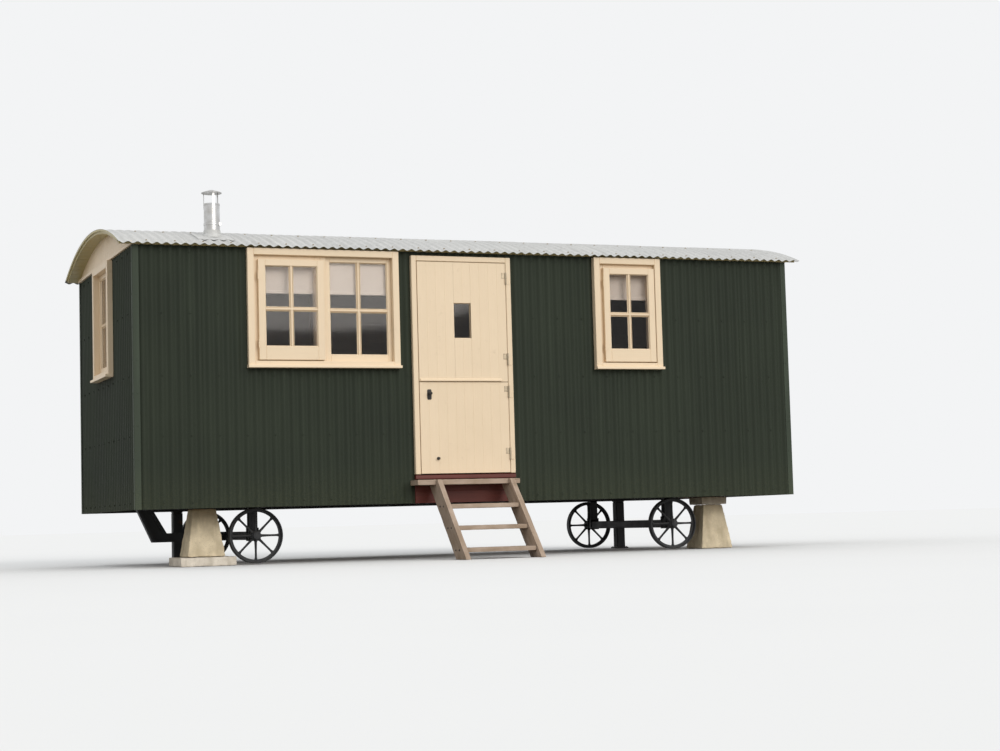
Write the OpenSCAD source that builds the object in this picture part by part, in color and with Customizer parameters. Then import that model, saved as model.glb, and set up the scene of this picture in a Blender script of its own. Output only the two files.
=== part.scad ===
// Shepherds hut on piers: corrugated walls, low arched roof, stable door and open steps
// The front is the door side and faces -Y, the length runs along X, and the ground is at z = 0

/* [Body] */
// Length of the walls, outside
body_l = 5920; // [5600:10:6400]
// Width of the walls, outside
body_w = 2500; // [2400:10:2700]
// Height of the walls from their lower edge to the gable line
wall_h = 2100; // [2080:5:2160]
// Height of the walls' lower edge above the ground
clearance = 465; // [450:5:520]
// Thickness of the walls, from the crests of the iron to the inside lining
wall_t = 90; // [80:1:110]
// Height of the floor above the walls' lower edge
floor_z = 200; // [190:1:215]
// Thickness of the floor boards
floor_t = 40; // [25:1:50]
// Leg of the metal angle on each corner
corner_leg = 48; // [30:1:80]
// Thickness of that angle
corner_t = 3; // [2:0.5:5]

/* [Roof] */
// Height of the roof's crown above the gable line
roof_rise = 268; // [260:1:340]
// Height of the sheet's top at the eaves above the gable line
eave_h = 16; // [10:1:30]
// How far the sheet stands out over the long walls
eave_out = 70; // [60:1:100]
// How far the sheet stands out over the end walls
end_out = 120; // [80:1:160]
// Depth of the corrugated sheet
sheet_t = 18; // [14:1:22]
// Thickness of the boards under the sheet
roof_board_t = 20; // [15:1:25]
// How far the boards stay back from the sheet's edge at the ends
board_back = 15; // [8:1:30]
// How far the boards reach out over the long walls
board_out = 6; // [2:1:12]
// Thickness of the gable panels
gable_t = 60; // [40:1:80]

/* [Chassis] */
// Distance of the bearers' middle from the long walls' face
bearer_in = 450; // [430:5:520]
// Width of a bearer
bearer_w = 80; // [60:1:100]
// Height of a bearer
bearer_h = 100; // [80:1:110]
// Width of a cross member
cross_w = 60; // [45:1:80]
// Number of cross members
cross_n = 6; // [5:1:8]
// Distance of the outer cross members' middle from the walls' ends
cross_in = 220; // [200:5:260]

/* [Piers and posts] */
// Distance of a pier's middle from the walls' ends
pier_in = 630; // [600:5:650]
// Side of a pier at its top
pier_top = 190; // [160:5:195]
// Side of a pier at its foot
pier_foot = 320; // [250:5:330]
// Side of the slab under the left pier
slab_w = 460; // [400:5:470]
// Thickness of the slab under the left pier
slab_t = 75; // [50:1:90]
// Side of the slab on top of the right pier
cap_w = 255; // [220:5:280]
// Thickness of the slab on top of the right pier
cap_t = 70; // [50:1:85]
// Distance of a back post's middle from the walls' ends
post_in = 770; // [740:5:800]
// Side of a back post
post_w = 88; // [82:1:100]
// Side of a post's foot plate
foot_w = 130; // [115:1:135]
// Thickness of a post's foot plate
foot_t = 12; // [8:1:20]

/* [Wheels] */
// Radius of a wheel
wheel_r = 225; // [200:1:228]
// Width of a wheel's rim
rim_w = 60; // [45:1:70]
// Thickness of a wheel's rim
rim_t = 16; // [10:1:22]
// Number of spokes in a wheel
spoke_n = 8; // [6:1:10]
// Thickness of a spoke
spoke_t = 14; // [10:1:18]
// Radius of a wheel's hub
hub_r = 42; // [36:1:50]
// Length of a wheel's hub
hub_l = 96; // [84:1:104]
// Radius of the axle's ends
axle_r = 20; // [16:1:24]
// Side of the square axle beam
axle_beam = 70; // [55:1:80]
// Height of the axles above the ground
axle_z = 235; // [232:1:250]
// Distance of the axles from the walls' ends
axle_in = 1050; // [1045:5:1150]
// Distance of a wheel's middle from the long walls' face
wheel_in = 350; // [340:1:352]
// Thickness of the washer at each axle end
washer_t = 8; // [4:1:12]
// How far the washer stands out round the axle
washer_lip = 10; // [6:1:14]
// Play beside a hub on its axle
hub_play = 1; // [0.5:0.5:2]
// Setback of an axle bracket from the bearer's sides
bracket_back = 2; // [1:1:8]

/* [Front brace] */
// Depth of the brace bar under the front axle's middle
brace_h = 76; // [60:1:90]
// Width of the brace
brace_w = 70; // [50:1:100]
// Distance from the end wall at which the bar turns upwards
brace_bend = 380; // [340:5:420]
// How far the brace leans out from its bend to its top
brace_lean = 170; // [140:5:190]
// Length of the brace's upright, measured level
brace_foot = 120; // [80:5:140]

/* [Door] */
// Distance of the door frame from the left end wall's face
door_x = 2325; // [2290:5:2350]
// Width of the door frame, outside
door_w = 895; // [850:5:910]
// How far the door frame's top lies below the gable line
door_drop = 30; // [22:1:40]
// Width of a jamb's face
jamb_w = 45; // [35:1:55]
// How far frame and leaves stand out from the wall
door_proud = 25; // [20:1:35]
// Thickness of a leaf
leaf_t = 44; // [38:1:50]
// Gap round each leaf
leaf_gap = 5; // [5:0.5:7]
// Height of the split between the leaves
split_z = 1008; // [950:2:1060]
// Thickness of the threshold
threshold_t = 38; // [30:1:40]
// Width of the door's small window
door_glass_w = 152; // [120:1:180]
// Height of the door's small window
door_glass_h = 297; // [250:1:320]
// Lower edge of the door's small window
door_glass_z = 1377; // [1340:1:1420]
// Depth of the stop behind the leaves
stop_t = 16; // [12:1:20]
// Width of the stop
stop_w = 14; // [10:1:20]

/* [Hinges] */
// Radius of a hinge knuckle
knuckle_r = 7; // [6:0.5:9]
// Radius of a hinge pin
pin_r = 4; // [3:0.5:5]
// Height of a hinge
hinge_h = 100; // [80:1:120]
// Thickness of a hinge plate
hinge_plate_t = 3; // [2:0.5:4]
// Width of a hinge plate
hinge_plate_w = 38; // [30:1:42]
// Gap between a knuckle and the leaf's face
knuckle_gap = 1; // [0.5:0.5:2]
// Height of the upper leaf's low hinge
upper_hinge_low = 1200; // [1120:1:1300]
// Height of the upper leaf's high hinge
upper_hinge_high = 1890; // [1800:1:1950]
// Height of the lower leaf's low hinge
lower_hinge_low = 400; // [340:1:460]
// Height of the lower leaf's high hinge
lower_hinge_high = 925; // [850:1:930]

/* [Handle] */
// Height of the handle on the lower leaf
handle_z = 902; // [860:1:930]
// Distance of the handle from the leaf's free edge
handle_in = 84; // [70:1:110]
// Width of the handle's plate
handle_plate_w = 38; // [30:1:50]
// Height of the handle's plate
handle_plate_h = 86; // [70:1:120]
// Thickness of the handle's plate
handle_plate_t = 4; // [2:0.5:6]
// Radius of the knob
knob_r = 15; // [12:0.5:20]
// How far the knob stands out from its plate
knob_l = 42; // [30:1:50]
// Radius of the knob's shank
shank_r = 7; // [5:0.5:10]

/* [Windows] */
// Gap between the double window and the door frame
double_gap = 114; // [80:1:160]
// Width of the double window
double_w = 1290; // [1200:5:1320]
// Distance of the small window's right edge from the right end wall's face
small_in = 1280; // [1240:5:1320]
// Width of the small window
small_w = 640; // [600:5:680]
// Width of an end window
end_w = 720; // [640:5:980]
// Lower edge of the front and back windows
window_z = 1120; // [1080:5:1180]
// Lower edge of the end windows
end_z = 1120; // [1000:5:1140]
// How far the windows' top lies below the gable line
window_drop = 5; // [2:1:20]
// Width of a window frame's face
frame_w = 55; // [50:1:66]
// How far a window frame stands out from the wall
frame_proud = 40; // [30:1:55]
// Depth of a window frame inside the wall's face
frame_in = 75; // [70:1:78]
// Width of the middle post of a double window
mullion_w = 50; // [40:1:60]
// Width of the rebate round an opening light
rebate_w = 45; // [32:1:50]
// How much of the rebate a casement covers
casement_lap = 10; // [6:1:14]
// How far a casement laps over the middle post
post_lap = 24; // [10:1:30]
// Thickness of a casement or sash
sash_t = 35; // [30:1:37]
// Width of a casement's stile
stile_w = 58; // [50:1:70]
// Height of a casement's top rail
top_rail = 52; // [40:1:60]
// Height of a casement's bottom rail
bottom_rail = 110; // [80:1:120]
// Width of a fixed sash's stile
still_stile = 34; // [28:1:60]
// Height of a fixed sash's top rail
still_top = 40; // [30:1:70]
// Height of a fixed sash's bottom rail
still_bottom = 57; // [40:1:80]
// Setback of a fixed sash behind the wall's face
sash_back = 12; // [8:1:16]
// How far a sill stands out from the wall
sill_out = 64; // [56:1:80]
// Thickness of a sill
sill_t = 28; // [20:1:35]
// How far a sill runs past the frame
sill_horn = 5; // [3:1:35]
// Thickness of the glass
glass_t = 4; // [3:1:6]
// How far the front blinds reach down from the lights' top
blind_h = 300; // [200:5:420]
// How far the end and back blinds reach down from the lights' top
closed_blind_h = 850; // [300:5:860]
// Thickness of the blinds
blind_t = 3; // [2:0.5:4]
// Distance of the blinds behind the wall's face
blind_y = 58; // [54:1:64]

/* [Steps] */
// Height of the landing board's top above the walls' lower edge
landing_z = 190; // [180:1:195]
// Thickness of the landing board
landing_t = 45; // [38:1:60]
// How far the landing board runs past the door frame on the left
landing_past = 45; // [0:5:65]
// How far the landing board stays back from the door frame's right edge
landing_short = 30; // [0:5:60]
// Depth of the landing board
landing_d = 190; // [170:5:220]
// Distance of the left stringer's outer face from the door frame's left edge
steps_left = 115; // [80:5:150]
// Distance of the right stringer's outer face from the door frame's right edge
steps_right = 90; // [80:5:150]
// Thickness of a stringer
stringer_t = 45; // [35:1:55]
// Depth of a stringer, measured level
stringer_d = 235; // [210:5:245]
// How far the stringers' top stands out in front of the landing board
stringer_past = 23.5; // [15:0.5:30]
// How far the stringers reach out from their top to the ground
steps_run = 633.5; // [600:0.5:680]
// Height of the lowest tread's top above the ground
first_tread = 95; // [85:1:110]
// Rise from tread to tread
tread_rise = 177; // [165:1:185]
// Number of treads
tread_n = 3; // [2:1:3]
// Thickness of a tread
tread_t = 38; // [30:1:45]
// Depth of a tread
tread_d = 190; // [160:5:215]
// Setback of a tread from the stringers' front edge
tread_back = 8; // [4:1:14]

/* [Flue] */
// Radius of the flue pipe
flue_r = 65; // [50:1:75]
// Wall of the flue pipe
flue_t = 2; // [1:0.5:4]
// Distance of the flue from the left end wall's face
flue_x = 700; // [640:5:780]
// Distance of the flue from the front wall's face
flue_y = 230; // [210:5:300]
// Height of the flue's top above the walls' lower edge
flue_top = 2485; // [2440:5:2600]
// How far the flue reaches down below the roof boards
flue_in = 130; // [80:5:300]
// Radius of the cowl's cap
cap_r = 84; // [78:1:110]
// Gap between the flue and its cap
cowl_gap = 88; // [60:1:120]
// Height of the cap's cone
cowl_h = 26; // [18:1:40]
// Radius of the cap's flat top
cap_top_r = 21; // [10:1:30]
// Radius of the cowl's legs
leg_r = 4; // [3:0.5:6]

/* [Hidden] */
$fn = 96;

// Clearances
seat = 0.3;
pin_clear = 0.05;
eps = 1;

// Roof arc through both eaves and the crown
roof_half = body_w / 2 + eave_out;
roof_sag = roof_rise - eave_h;
roof_r = (roof_half * roof_half + roof_sag * roof_sag) / (2 * roof_sag);
roof_zc = wall_h + roof_rise - roof_r;
board_r = roof_r - sheet_t;
under_r = board_r - roof_board_t - seat;

// Height of an arc of radius r about the roof's axis, at depth y
function arc_z(r, y) = roof_zc + sqrt(r * r - (body_w / 2 - y) * (body_w / 2 - y));

// Steps
steps_out = landing_d + stringer_past + steps_run;
step_slope = steps_run / (landing_z + clearance);
steps_x = door_x + steps_left;
steps_w = door_w - steps_left - steps_right;
landing_x = door_x - landing_past;
landing_l = door_w + landing_past - landing_short;

// The part's origin lies on the ground, under the middle of its outline
y_mid = (body_w + max(eave_out, sill_out) - steps_out) / 2;

// Door leaves
door_top = wall_h - door_drop;
leaf_x = door_x + jamb_w + leaf_gap;
leaf_w = door_w - 2 * jamb_w - 2 * leaf_gap;
leaf_low = floor_z + threshold_t + leaf_gap;
leaf_high = door_top - jamb_w - leaf_gap;
hinge_x = leaf_x + leaf_w + leaf_gap / 2;
hinge_y = -door_proud - knuckle_r - knuckle_gap;

// Window lights, from the frame's sizes
double_x = door_x - double_gap - double_w;
double_light = (double_w - 2 * frame_w - mullion_w) / 2;
window_top = wall_h - window_drop;
light_top = window_top - frame_w;

// Glass edges inside a sash
glass_fit = 0.3;

module in_place() {
    translate([-body_l / 2, -y_mid, clearance])
        children();
}

// The four faces: each is drawn with its length along X and its outside towards -Y
module on_back() {
    translate([body_l, body_w, 0])
        rotate([0, 0, 180])
            children();
}

module on_left_end() {
    translate([0, body_w, 0])
        rotate([0, 0, -90])
            children();
}

module on_right_end() {
    translate([body_l, 0, 0])
        rotate([0, 0, 90])
            children();
}

module block(x0, x1, y0, y1, z0, z1) {
    translate([x0, y0, z0])
        cube([x1 - x0, y1 - y0, z1 - z0]);
}

// A round bar along X about the roof's axis
module roof_bar(r, x0, x1) {
    translate([x0, body_w / 2, roof_zc])
        rotate([0, 90, 0])
            cylinder(r = r, h = x1 - x0, $fn = 360);
}

// Everything under the roof boards
module under_roof() {
    roof_bar(under_r, -end_out, body_l + end_out);
}

module flue_bore() {
    translate([flue_x, flue_y, wall_h])
        cylinder(r = flue_r + seat, h = roof_rise + 2 * eave_h);
}

// A window opening through a wall drawn on one face
module window_hole(x, w, z) {
    block(x - seat, x + w + seat, -eps, wall_t + eps, z - seat, window_top + seat);
}

// A frame face on, open in the middle
module ring(x0, x1, y0, y1, z0, z1, side, top, bottom) {
    difference() {
        block(x0, x1, y0, y1, z0, z1);
        block(x0 + side, x1 - side, y0 - eps, y1 + eps, z0 + bottom, z1 - top);
    }
}

// Chassis
module bearers() {
    color("#33363a")
        for (y = [bearer_in, body_w - bearer_in])
            block(wall_t, body_l - wall_t, y - bearer_w / 2, y + bearer_w / 2, 0, bearer_h);
}

module cross_members() {
    step = (body_l - 2 * cross_in) / (cross_n - 1);
    color("#6e5d49")
        for (i = [0 : cross_n - 1])
            block(cross_in + i * step - cross_w / 2, cross_in + i * step + cross_w / 2,
                  wall_t, body_w - wall_t, bearer_h, floor_z - floor_t);
}

module floor_deck() {
    color("#a98c66")
        block(wall_t, body_l - wall_t, wall_t, body_w - wall_t, floor_z - floor_t, floor_z);
}

// Wheels and axles
axle_y = axle_z - clearance;

module axle(x) {
    beam_end = wheel_in + hub_l / 2 + hub_play;
    washer_in = wheel_in - hub_l / 2 - hub_play;
    block(x - axle_beam / 2, x + axle_beam / 2, beam_end, body_w - beam_end,
          axle_y - axle_beam / 2, axle_y + axle_beam / 2);
    translate([x, washer_in - washer_t, axle_y])
        rotate([-90, 0, 0])
            cylinder(r = axle_r, h = body_w - 2 * (washer_in - washer_t));
    for (y = [washer_in - washer_t, body_w - washer_in])
        translate([x, y, axle_y])
            rotate([-90, 0, 0])
                cylinder(r = axle_r + washer_lip, h = washer_t);
    bracket_half = bearer_w / 2 - bracket_back;
    for (y = [bearer_in, body_w - bearer_in])
        block(x - axle_beam / 2, x + axle_beam / 2, y - bracket_half, y + bracket_half,
              axle_y + axle_beam / 2 - eps, 0);
}

module axles() {
    color("#2e3033") {
        axle(axle_in);
        axle(body_l - axle_in);
    }
}

// A cast wheel about Y with its middle on the origin
module wheel() {
    color("#2b2c2e")
        rotate([90, 0, 0])
            difference() {
                union() {
                    difference() {
                        cylinder(r = wheel_r, h = rim_w, center = true, $fn = 120);
                        cylinder(r = wheel_r - rim_t, h = rim_w + 2, center = true, $fn = 120);
                    }
                    for (i = [0 : spoke_n - 1])
                        rotate([0, 0, i * 360 / spoke_n])
                            translate([hub_r / 2, -spoke_t / 2, -spoke_t])
                                cube([wheel_r - rim_t / 2 - hub_r / 2, spoke_t, 2 * spoke_t]);
                    cylinder(r = hub_r, h = hub_l, center = true);
                }
                cylinder(r = axle_r + pin_clear, h = hub_l + 2, center = true);
            }
}

module wheel_at(x, y) {
    translate([x, y, axle_y])
        wheel();
}

// A bar forward from the front axle that turns up to the first cross member
module front_brace() {
    low = axle_y - brace_h / 2;
    high = axle_y + brace_h / 2;
    top_x = brace_bend - brace_lean;
    color("#2a2a2c")
        translate([0, body_w / 2 + brace_w / 2, 0])
            rotate([90, 0, 0])
                linear_extrude(brace_w)
                    polygon([[axle_in - axle_beam / 2, low], [axle_in - axle_beam / 2, high],
                             [brace_bend + brace_foot, high], [top_x + brace_foot, bearer_h],
                             [top_x, bearer_h], [brace_bend, low]]);
}

// Piers
module tapered_pier(x, y, z0, z1) {
    translate([x, y, z0])
        hull() {
            translate([-pier_foot / 2, -pier_foot / 2, 0])
                cube([pier_foot, pier_foot, eps]);
            translate([-pier_top / 2, -pier_top / 2, z1 - z0 - eps])
                cube([pier_top, pier_top, eps]);
        }
}

module square_block(x, y, side, z0, z1) {
    block(x - side / 2, x + side / 2, y - side / 2, y + side / 2, z0, z1);
}

module piers() {
    color("#a79e8c") {
        tapered_pier(pier_in, bearer_in, slab_t - clearance, 0);
        tapered_pier(body_l - pier_in, bearer_in, -clearance, -cap_t);
    }
}

// One slab under the left pier and one on top of the right pier
module pier_slabs() {
    color("#e6e2d8") {
        square_block(pier_in, bearer_in, slab_w, -clearance, slab_t - clearance);
        square_block(body_l - pier_in, bearer_in, cap_w, -cap_t, 0);
    }
}

// Square posts on foot plates under the back bearer
module back_posts() {
    top = foot_t - clearance;
    color("#2f3134")
        for (x = [post_in, body_l - post_in]) {
            square_block(x, body_w - bearer_in, foot_w, -clearance, top);
            square_block(x, body_w - bearer_in, post_w, top - eps, 0);
        }
}

// Walls
module long_wall(x0, x1) {
    intersection() {
        difference() {
            block(x0, x1, 0, wall_t, 0, wall_h + roof_rise);
            block(-eps, gable_t + seat, -eps, wall_t + eps, wall_h, wall_h + roof_rise + eps);
            block(body_l - gable_t - seat, body_l + eps, -eps, wall_t + eps,
                  wall_h, wall_h + roof_rise + eps);
        }
        under_roof();
    }
}

module front_wall_left() {
    color("#39423a")
        difference() {
            long_wall(0, door_x);
            window_hole(double_x, double_w, window_z);
        }
}

small_x = body_l - small_in - small_w;

module front_wall_right() {
    color("#39423a")
        difference() {
            long_wall(door_x + door_w, body_l);
            window_hole(small_x, small_w, window_z);
        }
}

module front_wall_over_door() {
    color("#39423a")
        intersection() {
            long_wall(door_x, door_x + door_w);
            block(door_x, door_x + door_w, 0, wall_t, door_top, wall_h + roof_rise);
        }
}

module front_wall_under_door() {
    color("#5f3a2c")
        block(door_x, door_x + door_w, 0, wall_t, 0, floor_z);
}

// The back window stands opposite the double window
back_x = body_l - double_x - double_w;

module back_wall() {
    color("#39423a")
        on_back()
            difference() {
                long_wall(0, body_l);
                window_hole(back_x, double_w, window_z);
            }
}

end_x = (body_w - end_w) / 2;

module end_wall() {
    difference() {
        block(wall_t, body_w - wall_t, 0, wall_t, 0, wall_h);
        window_hole(end_x, end_w, end_z);
    }
}

module left_end_wall() {
    color("#4a4f3c")
        on_left_end()
            end_wall();
}

module right_end_wall() {
    color("#4a4f3c")
        on_right_end()
            end_wall();
}

module corner_angle() {
    block(-corner_t, corner_leg, -corner_t, 0, 0, wall_h);
    block(-corner_t, 0, -corner_t, corner_leg, 0, wall_h);
}

module corner_trims() {
    color("#6f776b") {
        corner_angle();
        on_back()
            corner_angle();
        on_left_end()
            corner_angle();
        on_right_end()
            corner_angle();
    }
}

// Roof
module gable_panel(x) {
    intersection() {
        block(x, x + gable_t, 0, body_w, wall_h, wall_h + roof_rise);
        under_roof();
    }
}

module gable_panels() {
    color("#e6d5ab") {
        gable_panel(0);
        gable_panel(body_l - gable_t);
    }
}

// A curved layer between two radii that stands out over the end walls and the long walls
module roof_layer(r_out, r_in, ends, sides) {
    difference() {
        intersection() {
            roof_bar(r_out, -ends, body_l + ends);
            block(-ends, body_l + ends, -sides, body_w + sides,
                  wall_h - roof_rise, wall_h + 2 * roof_rise);
        }
        roof_bar(r_in, -end_out - eps, body_l + end_out + eps);
        flue_bore();
    }
}

module roof_boards() {
    color("#ddcb9c")
        roof_layer(board_r, board_r - roof_board_t, end_out - board_back, board_out);
}

module roof_sheet() {
    color("#c9c9c6")
        roof_layer(roof_r, board_r, end_out, eave_out);
}

// Windows
module frame(x, w, z) {
    ring(x, x + w, -frame_proud, frame_in, z, window_top, frame_w, frame_w, frame_w);
    block(x - sill_horn, x + w + sill_horn, -sill_out, 0, z, z + sill_t);
}

// The rebate round one opening light
module rebate(x0, x1, z0) {
    ring(x0 - eps, x1 + eps, 0, frame_in, z0 - eps, light_top + eps,
         rebate_w + eps, rebate_w + eps, rebate_w + eps);
}

module middle_post(x, w, z) {
    block(x + (w - mullion_w) / 2, x + (w + mullion_w) / 2, 0, frame_in,
          z + frame_w - eps, light_top + eps);
}

module double_window_frame() {
    light_x = double_x + frame_w;
    color("#ebdcb4") {
        frame(double_x, double_w, window_z);
        middle_post(double_x, double_w, window_z);
        rebate(light_x, light_x + double_light, window_z + frame_w);
    }
}

// An opening sash that closes on the face of its rebate, with its right edge at x1
module casement_sash(x0, x1, z0) {
    in = rebate_w - casement_lap;
    ring(x0 + in, x1, -sash_t, 0, z0 + casement_lap, light_top - in,
         stile_w, top_rail, bottom_rail);
}

module casement() {
    light_x = double_x + frame_w;
    color("#efe1bb")
        casement_sash(light_x, light_x + double_light + post_lap, window_z + frame_w);
}

// A fixed sash inside its light
module still_sash(x0, x1, z0) {
    ring(x0 + seat, x1 - seat, sash_back, sash_back + sash_t, z0 + seat, light_top - seat,
         still_stile, still_top, still_bottom);
}

module fixed_sash() {
    light_x = double_x + frame_w + double_light + mullion_w;
    color("#e7d8ae")
        still_sash(light_x, light_x + double_light, window_z + frame_w);
}

module small_window_frame() {
    color("#ebdcb4") {
        frame(small_x, small_w, window_z);
        rebate(small_x + frame_w, small_x + small_w - frame_w, window_z + frame_w);
    }
}

module small_window_sash() {
    color("#efe1bb")
        casement_sash(small_x + frame_w, small_x + small_w - frame_w - leaf_gap,
                      window_z + frame_w);
}

module end_window_frames() {
    color("#ebdcb4") {
        on_left_end()
            frame(end_x, end_w, end_z);
        on_right_end()
            frame(end_x, end_w, end_z);
    }
}

module end_window_sashes() {
    color("#e7d8ae") {
        on_left_end()
            still_sash(end_x + frame_w, end_x + end_w - frame_w, end_z + frame_w);
        on_right_end()
            still_sash(end_x + frame_w, end_x + end_w - frame_w, end_z + frame_w);
    }
}

module back_window_frame() {
    color("#ebdcb4")
        on_back() {
            frame(back_x, double_w, window_z);
            middle_post(back_x, double_w, window_z);
        }
}

module back_window_sashes() {
    light_x = back_x + frame_w;
    second_x = light_x + double_light + mullion_w;
    color("#e7d8ae")
        on_back() {
            still_sash(light_x, light_x + double_light, window_z + frame_w);
            still_sash(second_x, second_x + double_light, window_z + frame_w);
        }
}

// The pane of a casement
module casement_pane(x0, x1, z0) {
    in = rebate_w - casement_lap;
    block(x0 + in + stile_w + glass_fit, x1 - stile_w - glass_fit,
          -(sash_t + glass_t) / 2, -(sash_t - glass_t) / 2,
          z0 + casement_lap + bottom_rail + glass_fit, light_top - in - top_rail - glass_fit);
}

// The pane of a fixed sash
module still_pane(x0, x1, z0) {
    side = seat + still_stile + glass_fit;
    block(x0 + side, x1 - side,
          sash_back + (sash_t - glass_t) / 2, sash_back + (sash_t + glass_t) / 2,
          z0 + seat + still_bottom + glass_fit, light_top - seat - still_top - glass_fit);
}

module window_glass() {
    first_x = double_x + frame_w;
    second_x = first_x + double_light + mullion_w;
    color("#4a4048", 0.6) {
        casement_pane(first_x, first_x + double_light + post_lap, window_z + frame_w);
        still_pane(second_x, second_x + double_light, window_z + frame_w);
        casement_pane(small_x + frame_w, small_x + small_w - frame_w - leaf_gap,
                      window_z + frame_w);
        on_left_end()
            still_pane(end_x + frame_w, end_x + end_w - frame_w, end_z + frame_w);
        on_right_end()
            still_pane(end_x + frame_w, end_x + end_w - frame_w, end_z + frame_w);
        on_back() {
            still_pane(back_x + frame_w, back_x + frame_w + double_light, window_z + frame_w);
            still_pane(back_x + frame_w + double_light + mullion_w,
                       back_x + double_w - frame_w, window_z + frame_w);
        }
    }
}

module blind(x0, x1, side, h) {
    block(x0 + side + seat, x1 - side - seat, blind_y, blind_y + blind_t,
          light_top - h, light_top - side);
}

module window_blinds() {
    first_x = double_x + frame_w;
    second_x = first_x + double_light + mullion_w;
    color("#f1efe8") {
        blind(first_x, first_x + double_light, rebate_w, blind_h);
        blind(second_x, second_x + double_light, 0, blind_h);
        blind(small_x + frame_w, small_x + small_w - frame_w, rebate_w, blind_h);
        on_left_end()
            blind(end_x + frame_w, end_x + end_w - frame_w, 0, closed_blind_h);
        on_right_end()
            blind(end_x + frame_w, end_x + end_w - frame_w, 0, closed_blind_h);
        on_back() {
            blind(back_x + frame_w, back_x + frame_w + double_light, 0, closed_blind_h);
            blind(back_x + frame_w + double_light + mullion_w, back_x + double_w - frame_w,
                  0, closed_blind_h);
        }
    }
}

// Door
module door_frame() {
    stop_y = leaf_t - door_proud + leaf_gap;
    low = floor_z + threshold_t;
    color("#ebdcb4")
        difference() {
            block(door_x, door_x + door_w, -door_proud, wall_t, low, door_top);
            block(door_x + jamb_w, door_x + door_w - jamb_w, -door_proud - eps, stop_y,
                  low - eps, door_top - jamb_w);
            block(door_x + jamb_w, door_x + door_w - jamb_w, stop_y + stop_t, wall_t + eps,
                  low - eps, door_top - jamb_w);
            block(door_x + jamb_w + stop_w, door_x + door_w - jamb_w - stop_w,
                  stop_y - eps, stop_y + stop_t + eps, low - eps, door_top - jamb_w - stop_w);
        }
}

module threshold() {
    color("#5a2c22")
        block(door_x, door_x + door_w, -door_proud, wall_t, floor_z, floor_z + threshold_t);
}

module leaf(z0, z1) {
    block(leaf_x, leaf_x + leaf_w, -door_proud, leaf_t - door_proud, z0, z1);
}

door_glass_x = leaf_x + (leaf_w - door_glass_w) / 2;

module upper_door() {
    color("#eedfb6")
        difference() {
            leaf(split_z + leaf_gap / 2, leaf_high);
            block(door_glass_x, door_glass_x + door_glass_w, -door_proud - eps, leaf_t,
                  door_glass_z, door_glass_z + door_glass_h);
        }
}

module lower_door() {
    color("#eedfb6")
        leaf(leaf_low, split_z - leaf_gap / 2);
}

module door_glass() {
    mid = leaf_t / 2 - door_proud;
    color("#4a4048", 0.6)
        block(door_glass_x + glass_fit, door_glass_x + door_glass_w - glass_fit,
              mid - glass_t / 2, mid + glass_t / 2,
              door_glass_z + glass_fit, door_glass_z + door_glass_h - glass_fit);
}

module door_handle() {
    x = leaf_x + handle_in;
    plate_y = -door_proud - handle_plate_t;
    color("#2c2a28") {
        block(x - handle_plate_w / 2, x + handle_plate_w / 2, plate_y, -door_proud,
              handle_z - handle_plate_h / 2, handle_z + handle_plate_h / 2);
        translate([x, plate_y + eps, handle_z])
            rotate([90, 0, 0])
                cylinder(r = shank_r, h = knob_l);
        translate([x, plate_y - knob_l / 2, handle_z])
            rotate([90, 0, 0])
                cylinder(r = knob_r, h = knob_l / 2);
    }
}

// The half of a hinge on the frame: plate, lower knuckle and pin
module frame_hinge(z) {
    block(hinge_x, hinge_x + hinge_plate_w, -door_proud - hinge_plate_t, -door_proud,
          z - hinge_h / 2, z - pin_clear);
    translate([hinge_x, hinge_y, z - hinge_h / 2])
        cylinder(r = knuckle_r, h = hinge_h / 2 - pin_clear);
    translate([hinge_x, hinge_y, z - hinge_h / 2])
        cylinder(r = pin_r, h = hinge_h);
}

// The half of a hinge on a leaf: plate and upper knuckle
module leaf_hinge(z) {
    difference() {
        union() {
            block(hinge_x - hinge_plate_w, hinge_x, -door_proud - hinge_plate_t, -door_proud,
                  z + pin_clear, z + hinge_h / 2);
            translate([hinge_x, hinge_y, z + pin_clear])
                cylinder(r = knuckle_r, h = hinge_h / 2 - pin_clear);
        }
        translate([hinge_x, hinge_y, z - eps])
            cylinder(r = pin_r + pin_clear, h = hinge_h);
    }
}

module frame_hinges() {
    color("#8a8172")
        for (z = [lower_hinge_low, lower_hinge_high, upper_hinge_low, upper_hinge_high])
            frame_hinge(z);
}

module upper_door_hinges() {
    color("#8a8172")
        for (z = [upper_hinge_low, upper_hinge_high])
            leaf_hinge(z);
}

module lower_door_hinges() {
    color("#8a8172")
        for (z = [lower_hinge_low, lower_hinge_high])
            leaf_hinge(z);
}

// Steps: depth of the stringers' front edge at height z
function step_front(z) = (clearance + z) * step_slope - steps_out;

// A stringer under the landing board, with its top rising in front of the board
module stringer(x) {
    under = landing_z - landing_t;
    behind = -landing_d - seat;
    translate([x, 0, 0])
        rotate([90, 0, 90])
            linear_extrude(stringer_t)
                polygon([[step_front(landing_z), landing_z], [behind, landing_z],
                         [behind, under], [step_front(under) + stringer_d, under],
                         [stringer_d - steps_out, -clearance], [-steps_out, -clearance]]);
}

module step_stringers() {
    color("#b9a992") {
        stringer(steps_x);
        stringer(steps_x + steps_w - stringer_t);
    }
}

module tread(z) {
    front = step_front(z) + tread_back;
    block(steps_x + stringer_t, steps_x + steps_w - stringer_t, front, front + tread_d,
          z - tread_t, z);
}

module step_treads() {
    color("#c4b59e") {
        for (i = [0 : tread_n - 1])
            tread(first_tread + i * tread_rise - clearance);
        block(landing_x, landing_x + landing_l, -landing_d, 0, landing_z - landing_t, landing_z);
    }
}

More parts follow.
